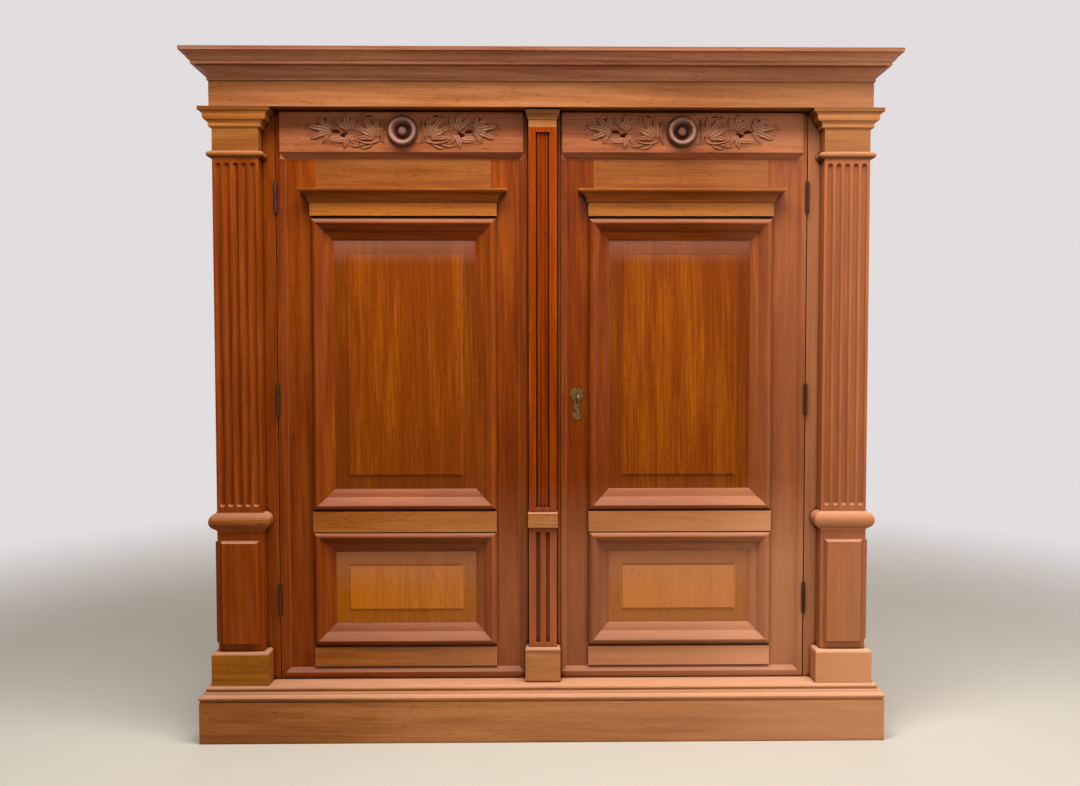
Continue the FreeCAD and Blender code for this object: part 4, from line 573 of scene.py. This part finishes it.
# How a leaf of a fan bends: shares of its length
fanForm = {"straight": 0.40, "turn": 0.50, "bend": 0.22, "tip": 0.50, "longMm": 60, "early": 0.72}
leafForm = {
    "swell": 0.8, "fill": 0.7,                      # below 1, so that a leaf widens fast from its ends
    "tipWidth": 0.14, "tipRise": 0.25,              # shares of the full width and rise
    "notch": 0.34, "firstNotch": 0.25,              # how deep its lobes are cut, and where they begin
    "flatTop": 2.4, "steepSide": 0.6,               # powers that shape its section
    "vein": 0.42, "veinHalf": 0.20, "veinOfSmall": 0.25, "smallMm": 4.5,     # groove down its middle
    "aside": 0.01,                                  # how far to look along the spine for its direction
}
sharpDegrees = 50


def fanLeaves(root, middle, curl, leaflets):
    leaves, base = [], Vector(root)
    for angle, start, length, halfWidth, rise in leaflets:
        ahead = Vector((math.cos(math.radians(angle)), math.sin(math.radians(angle))))
        bent = math.radians(angle + curl * (angle - middle))
        tip = Vector((math.cos(bent), math.sin(bent)))
        turn = base + ahead * length * fanForm["turn"]
        leaves.append(([base + ahead * start, base + ahead * length * fanForm["straight"],
                        turn + tip * length * fanForm["bend"], turn + tip * length * fanForm["tip"]],
                       halfWidth, rise, 3 if length > fanForm["longMm"] else 2, fanForm["early"]))
    return leaves


def bezierPoint(points, t):
    points = [Vector(p) for p in points]
    while len(points) > 1:
        points = [a.lerp(b, t) for a, b in zip(points, points[1:])]
    return points[0]


def carveLeaf(shape, spine, halfWidth, rise, lobes, early, centreX, side):
    form, steps, across = leafForm, friezeCarving["steps"], friezeCarving["across"]
    face, sunk = friezeCarving["faceY"], friezeCarving["sunkMm"] / 1000
    vein = form["vein"] * (1 if halfWidth > form["smallMm"] else form["veinOfSmall"])
    rings = []
    for i in range(steps + 1):
        t = i / steps
        middle = bezierPoint(spine, t)
        ahead = bezierPoint(spine, min(1, t + form["aside"])) - bezierPoint(spine, max(0, t - form["aside"]))
        sideways = Vector((-ahead.y, ahead.x)).normalized()
        body = max(0.0, math.sin(math.pi * t ** early)) ** form["swell"]
        width = halfWidth * (form["tipWidth"] + (1 - form["tipWidth"]) * body ** form["fill"])
        if lobes:
            lobe = abs(math.sin(math.pi * (lobes * t + form["firstNotch"])))
            width *= 1 - form["notch"] + form["notch"] * lobe
        crest = rise * (form["tipRise"] + (1 - form["tipRise"]) * body)
        ring = []
        for j in range(across + 1):
            s = -1 + 2 * j / across
            crown = max(0.0, 1 - abs(s) ** form["flatTop"]) ** form["steepSide"]
            at = middle + sideways * (s * width)
            height = crest * crown * (1 - vein * math.exp(-(s / form["veinHalf"]) ** 2))
            ring.append((centreX + side * at.x / 1000, face - height / 1000, friezeCarving["rosetteZ"] + at.y / 1000))
        back = [(x, face + sunk, z) for x, y, z in (ring[-1], ring[0])]
        rings.append([shape.verts.new(p) for p in ring + back])
    count = len(rings[0])
    for a, b in zip(rings, rings[1:]):
        for j in range(count):
            shape.faces.new((a[j], a[(j + 1) % count], b[(j + 1) % count], b[j]))
    shape.faces.new(rings[0])
    shape.faces.new(rings[-1])


def finishPiece(name, shape, material):
    bmesh.ops.recalc_face_normals(shape, faces=shape.faces)
    mesh = bpy.data.meshes.new(name)
    shape.to_mesh(mesh)
    shape.free()
    mesh.materials.append(material)
    mesh.shade_smooth()
    mesh.set_sharp_from_angle(angle=math.radians(sharpDegrees))
    return addObject(name, mesh)


# The frieze's wood, cut with gouges: crests rubbed paler than the ground, painted shade black in every fold
carvedWood = woodMaterial("carvedMahogany", woodLook(
    dark="#64301a", middle="#8b5030", light="#a56a48", cornerWax="#250a02", rubbedEdge="#b98a6c", cornerDepth=0.95,
    cornerMm=10, edgeWear=0.35, edgeMm=1.0, topFade=0.10, rubbedFront=(-0.1785, -0.1835, 0.40)), ("x",), 2.7)
# Painted shadow in the cuts: matt and nearly black
waxInCuts = woodMaterial("waxInCuts", woodLook(
    dark="#2a0e04", middle="#3c1606", light="#4e200b", roughness=0.60, gloss=0.02, coat=0.0, edgeWear=0.0,
    topFade=0.0, bleachRight=0.0, bleachFoot=0.0), ("x",), 2.9)
doorSigns = (("left_door", -1), ("right_door", 1))
for door, sign in doorSigns:
    for part, material in (("leaves", carvedWood), ("cuts", waxInCuts)):
        shape = bmesh.new()
        fans = [leaf for fan in friezeCarving["fans"] for leaf in fanLeaves(*fan)] if part == "leaves" else []
        for side in (-1, 1):
            for leaf in friezeCarving[part] + fans:
                carveLeaf(shape, *leaf, sign * friezeCarving["rosetteX"], side)
        carved = finishPiece(f"{door}_carved_{part}", shape, material)
        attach(carved, door)
print("friezes carved")


headHabits = {"fewestRings": 6, "slotLength": 3.0, "seed": 7}    # slot length in radii, past the head's edge


# Small heads set on a row of points: berries, nails, and screws whose slots stand as the driver left them
def setHeads(name, points, material, look, body):
    tree = bpy.data.node_groups.new(name + "Nodes", "GeometryNodeTree")
    sockets = {}
    for label, kind, isInput in (("Places", "NodeSocketGeometry", True), ("Head radius", "NodeSocketFloat", True),
                                 ("Head height", "NodeSocketFloat", True), ("Slot width", "NodeSocketFloat", True),
                                 ("Facing", "NodeSocketVector", True), ("Heads", "NodeSocketGeometry", False)):
        sockets[label] = tree.interface.new_socket(
            name=label, in_out="INPUT" if isInput else "OUTPUT", socket_type=kind)
    given = addNode(tree, "NodeGroupInput").outputs
    ball = addNode(tree, "GeometryNodeMeshUVSphere", {
        "Segments": look["faces"], "Rings": max(headHabits["fewestRings"], look["faces"] // 2), "Radius": 1.0})
    stretch = addNode(tree, "ShaderNodeCombineXYZ", {
        "X": given["Head radius"], "Y": given["Head radius"], "Z": given["Head height"]})
    head = addNode(tree, "GeometryNodeTransform", {"Geometry": ball.outputs["Mesh"], "Scale": stretch.outputs[0]})
    if look["slotMm"]:
        length = addNode(tree, "ShaderNodeMath", {0: given["Head radius"], 1: headHabits["slotLength"]},
                         operation="MULTIPLY")
        size = addNode(tree, "ShaderNodeCombineXYZ", {
            "X": length.outputs[0], "Y": given["Slot width"], "Z": given["Head height"]})
        bar = addNode(tree, "GeometryNodeMeshCube", {"Size": size.outputs[0]})
        lift = addNode(tree, "ShaderNodeCombineXYZ", {"Z": given["Head height"]})
        raised = addNode(tree, "GeometryNodeTransform", {
            "Geometry": bar.outputs["Mesh"], "Translation": lift.outputs[0]})
        head = addNode(tree, "GeometryNodeMeshBoolean", {
            "Mesh 1": head.outputs[0], "Mesh 2": raised.outputs[0]}, operation="DIFFERENCE")
    own = addNode(tree, "GeometryNodeInputNamedAttribute", {"Name": "ownSize"}, data_type="FLOAT")
    placed = addNode(tree, "GeometryNodeInstanceOnPoints", {
        "Points": given["Places"], "Instance": head.outputs[0], "Rotation": given["Facing"],
        "Scale": own.outputs["Attribute"]})
    turn = addNode(tree, "FunctionNodeRandomValue", {
        "Min": (0.0, 0.0, 0.0), "Max": (0.0, 0.0, math.pi), "Seed": headHabits["seed"]}, data_type="FLOAT_VECTOR")
    turned = addNode(tree, "GeometryNodeRotateInstances", {
        "Instances": placed.outputs[0], "Rotation": turn.outputs[0], "Local Space": True})
    real = addNode(tree, "GeometryNodeRealizeInstances", {"Geometry": turned.outputs[0]})
    dressed = addNode(tree, "GeometryNodeSetMaterial", {"Geometry": real.outputs[0], "Material": material})
    addNode(tree, "NodeGroupOutput", {"Heads": dressed.outputs[0]})

    mesh = bpy.data.meshes.new(name + "Places")
    mesh.from_pydata([p[:3] for p in points], [], [])
    mesh.attributes.new("ownSize", "FLOAT", "POINT").data.foreach_set(
        "value", [p[3] if len(p) > 3 else 1.0 for p in points])
    holder = addObject(name + "Places", mesh)
    modifier = holder.modifiers.new(name, "NODES")
    modifier.node_group = tree
    for label, value in (("Head radius", look["radiusMm"] / 1000),
                         ("Head height", look["radiusMm"] * look["flatness"] / 1000),
                         ("Slot width", look["slotMm"] / 1000),
                         ("Facing", [math.radians(a) for a in look["facing"]])):
        modifier[sockets[label].identifier] = value
    finished = bpy.data.meshes.new_from_object(holder.evaluated_get(bpy.context.evaluated_depsgraph_get()))
    finished.name = name
    finished.shade_smooth()
    finished.set_sharp_from_angle(angle=math.radians(sharpDegrees))
    bpy.data.objects.remove(holder)
    piece = addObject(name, finished)
    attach(piece, body)


berryHeads = {"radiusMm": 1.0, "flatness": 0.75, "slotMm": 0.0, "facing": (90, 0, 0), "faces": 14}
for door, sign in doorSigns:
    berryY = friezeCarving["faceY"] - friezeCarving["berryProudMm"] / 1000
    places = [(sign * friezeCarving["rosetteX"] + side * u / 1000, berryY, friezeCarving["rosetteZ"] + w / 1000, r)
              for side in (-1, 1) for u, w, r in friezeCarving["berries"]]
    setHeads(door + "_carved_berries", places, carvedWood, berryHeads, door)
print("berries set")


# Fixings: where they stand, in metres, and the size and facing of their heads
fixings = {
    "caseScrews": {"insetM": 0.008, "radiusMm": 3.6, "flatness": 0.42, "slotMm": 0.9, "facing": (-90, 0, 0),
                   "faces": 20},
    "cleatScrews": {"along": (-0.070, 0.080, 0.230), "levels": (0.550, 0.950, 1.350), "cleatM": 0.020,
                    "radiusMm": 4.4, "flatness": 0.40, "slotMm": 1.0, "faces": 20},
    "lidNails": {"insetM": 0.014, "spacingM": 0.17, "radiusMm": 2.8, "flatness": 0.35, "slotMm": 0.0,
                 "facing": (0, 0, 0), "faces": 12},
    "platePins": {"radiusMm": 1.5, "flatness": 0.6, "slotMm": 0.0, "facing": (90, 0, 0), "faces": 14,
                  "fromMiddle": ((-13.5, 31.0), (13.5, 31.0), (0.0, -39.0))},
}


def buildFixings():
    look = fixings["caseScrews"]
    low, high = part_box("lock_case")
    setHeads("lock_case_screws", [(x, high[1], z) for x in (low[0] + look["insetM"], high[0] - look["insetM"])
                                  for z in (low[2] + look["insetM"], high[2] - look["insetM"])],
             steel, look, "right_door")

    look = fixings["cleatScrews"]
    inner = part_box("shelf_cleats")[1][0] - look["cleatM"]
    for side, sign in (("left", -1), ("right", 1)):
        setHeads(side + "_cleat_screws", [(sign * inner, y, z) for z in look["levels"] for y in look["along"]],
                 steel, {**look, "facing": (0, -90 * sign, 0)}, "carcass")

    look = fixings["lidNails"]
    low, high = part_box("crown_lid")
    ends = [(a + look["insetM"], b - look["insetM"]) for a, b in zip(low[:2], high[:2])]
    counts = [round((b - a) / look["spacingM"]) for a, b in ends]
    rows = [[a + (b - a) * i / n for i in range(n + 1)] for (a, b), n in zip(ends, counts)]
    places = [(x, y, high[2]) for x in rows[0] for y in ends[1]]
    places += [(x, y, high[2]) for x in ends[0] for y in rows[1][1:-1]]
    setHeads("lid_nails", places, steel, look, "carcass")

    look = fixings["platePins"]
    low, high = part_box("keyhole_plate")
    middle = [(a + b) / 2 for a, b in zip(low, high)]
    setHeads("keyhole_plate_pins", [(middle[0] + u / 1000, low[1], middle[2] + w / 1000)
                                    for u, w in look["fromMiddle"]], brass, look, "right_door")


buildFixings()
print("screws, nails and pins set")


studio = {"floorPaint": "#aba396", "floorRoughness": (0.60, 0.85), "cloudScale": 2.5, "sizeM": 80.0,
          "fades": (1.9, 4.2),                      # metres from the middle between which the floor fades out
          "background": "#e2dddf", "daylight": "#fffdfa", "ambient": 0.27}


def seenDirectly(tree):                            # 1 for what the camera, a gloss or a glass shows of the room
    path = addNode(tree, "ShaderNodeLightPath").outputs
    seen = addNode(tree, "ShaderNodeMath", {0: path["Is Camera Ray"], 1: path["Is Glossy Ray"]}, operation="MAXIMUM")
    return addNode(tree, "ShaderNodeMath", {0: seen.outputs[0], 1: path["Is Transmission Ray"]},
                   operation="MAXIMUM").outputs[0]


def buildStudio():
    mesh = bpy.data.meshes.new("studioFloor")
    half = studio["sizeM"] / 2
    mesh.from_pydata([(-half, -half, 0), (half, -half, 0), (half, half, 0), (-half, half, 0)], [], [(0, 1, 2, 3)])
    floor = addObject("studioFloor", mesh)
    # Rolled floor paint: warm grey, matt, slightly clouded, fading into the pale room
    material, tree, place = blankMaterial("mattFloorPaint")
    away = addNode(tree, "ShaderNodeVectorMath", {0: place}, operation="LENGTH")
    far = addNode(tree, "ShaderNodeMapRange", {"Value": away.outputs["Value"], **span(studio["fades"])},
                  interpolation_type="SMOOTHSTEP")
    clouds = addNode(tree, "ShaderNodeTexNoise", {"Vector": place, "Scale": studio["cloudScale"], "Detail": 4.0})
    smooth, rough = studio["floorRoughness"]
    roughness = addNode(tree, "ShaderNodeMapRange", {
        "Value": clouds.outputs["Fac"], "To Min": smooth, "To Max": rough})
    paint = addNode(tree, "ShaderNodeBsdfPrincipled", {
        "Base Color": hexColour(studio["floorPaint"]), "Roughness": roughness.outputs[0]})
    backdrop = addNode(tree, "ShaderNodeEmission", {"Color": hexColour(studio["background"]), "Strength": 1.0})
    share = addNode(tree, "ShaderNodeMath", {0: seenDirectly(tree), 1: far.outputs[0]}, operation="MULTIPLY")
    shader = addNode(tree, "ShaderNodeMixShader", {
        0: share.outputs[0], 1: paint.outputs[0], 2: backdrop.outputs[0]})
    addNode(tree, "ShaderNodeOutputMaterial", {"Surface": shader.outputs[0]})
    mesh.materials.append(material)

    world = bpy.data.worlds.new("paleRoom")
    bpy.context.scene.world = world
    world.use_nodes = True
    tree = world.node_tree
    tree.nodes.clear()
    ambient = addNode(tree, "ShaderNodeBackground", {
        "Color": hexColour(studio["daylight"]), "Strength": studio["ambient"]})
    backdrop = addNode(tree, "ShaderNodeBackground", {"Color": hexColour(studio["background"]), "Strength": 1.0})
    both = addNode(tree, "ShaderNodeMixShader", {
        0: seenDirectly(tree), 1: ambient.outputs[0], 2: backdrop.outputs[0]})
    addNode(tree, "ShaderNodeOutputWorld", {"Surface": both.outputs[0]})


softLights = {
    # name: (place, aimed at, width, height, watts)
    "ceilingPanel": ((0.2, -0.9, 3.2), (0.0, -0.20, 0.6), 3.0, 0.9, 185.0),
    "frontPanel": ((0.8, -4.0, 2.4), (0.2, -0.2, 0.9), 2.4, 1.2, 20.0),
    "rightWindow": ((3.0, -1.9, 1.6), (0.5, -0.2, 0.9), 1.2, 2.0, 31.0),
    "leftFill": ((-3.6, -2.2, 2.2), (-0.6, 0.0, 1.0), 1.6, 2.0, 4.0),
    "backFill": ((0.0, 3.8, 2.8), (0.0, 0.2, 1.0), 3.0, 1.8, 75.0),
}


def buildLights():
    for name, (place, target, width, height, watts) in softLights.items():
        lamp = bpy.data.lights.new(name, "AREA")
        lamp.shape, lamp.size, lamp.size_y, lamp.energy = "RECTANGLE", width, height, watts
        holder = addObject(name, lamp)
        holder.location = place
        holder.rotation_euler = (Vector(target) - Vector(place)).to_track_quat("-Z", "Y").to_euler()


# Place in metres, turns in degrees, lens and sensor in millimetres
camera = {"place": (-0.0372, -2.6453, 1.0746), "down": 2.094, "towardsRight": 0.692, "roll": 0.053,
          "lens": 28.8, "sensor": 36.0}


def buildCamera():
    data = bpy.data.cameras.new("photoCamera")
    data.lens, data.sensor_width, data.sensor_fit = camera["lens"], camera["sensor"], "HORIZONTAL"
    holder = addObject("photoCamera", data)
    holder.location = camera["place"]
    holder.rotation_euler = (math.radians(90 - camera["down"]), math.radians(camera["roll"]),
                             math.radians(-camera["towardsRight"]))
    bpy.context.scene.camera = holder


buildStudio()
buildLights()
buildCamera()
bpy.context.scene.view_settings.view_transform = "Standard"
print("studio ready")
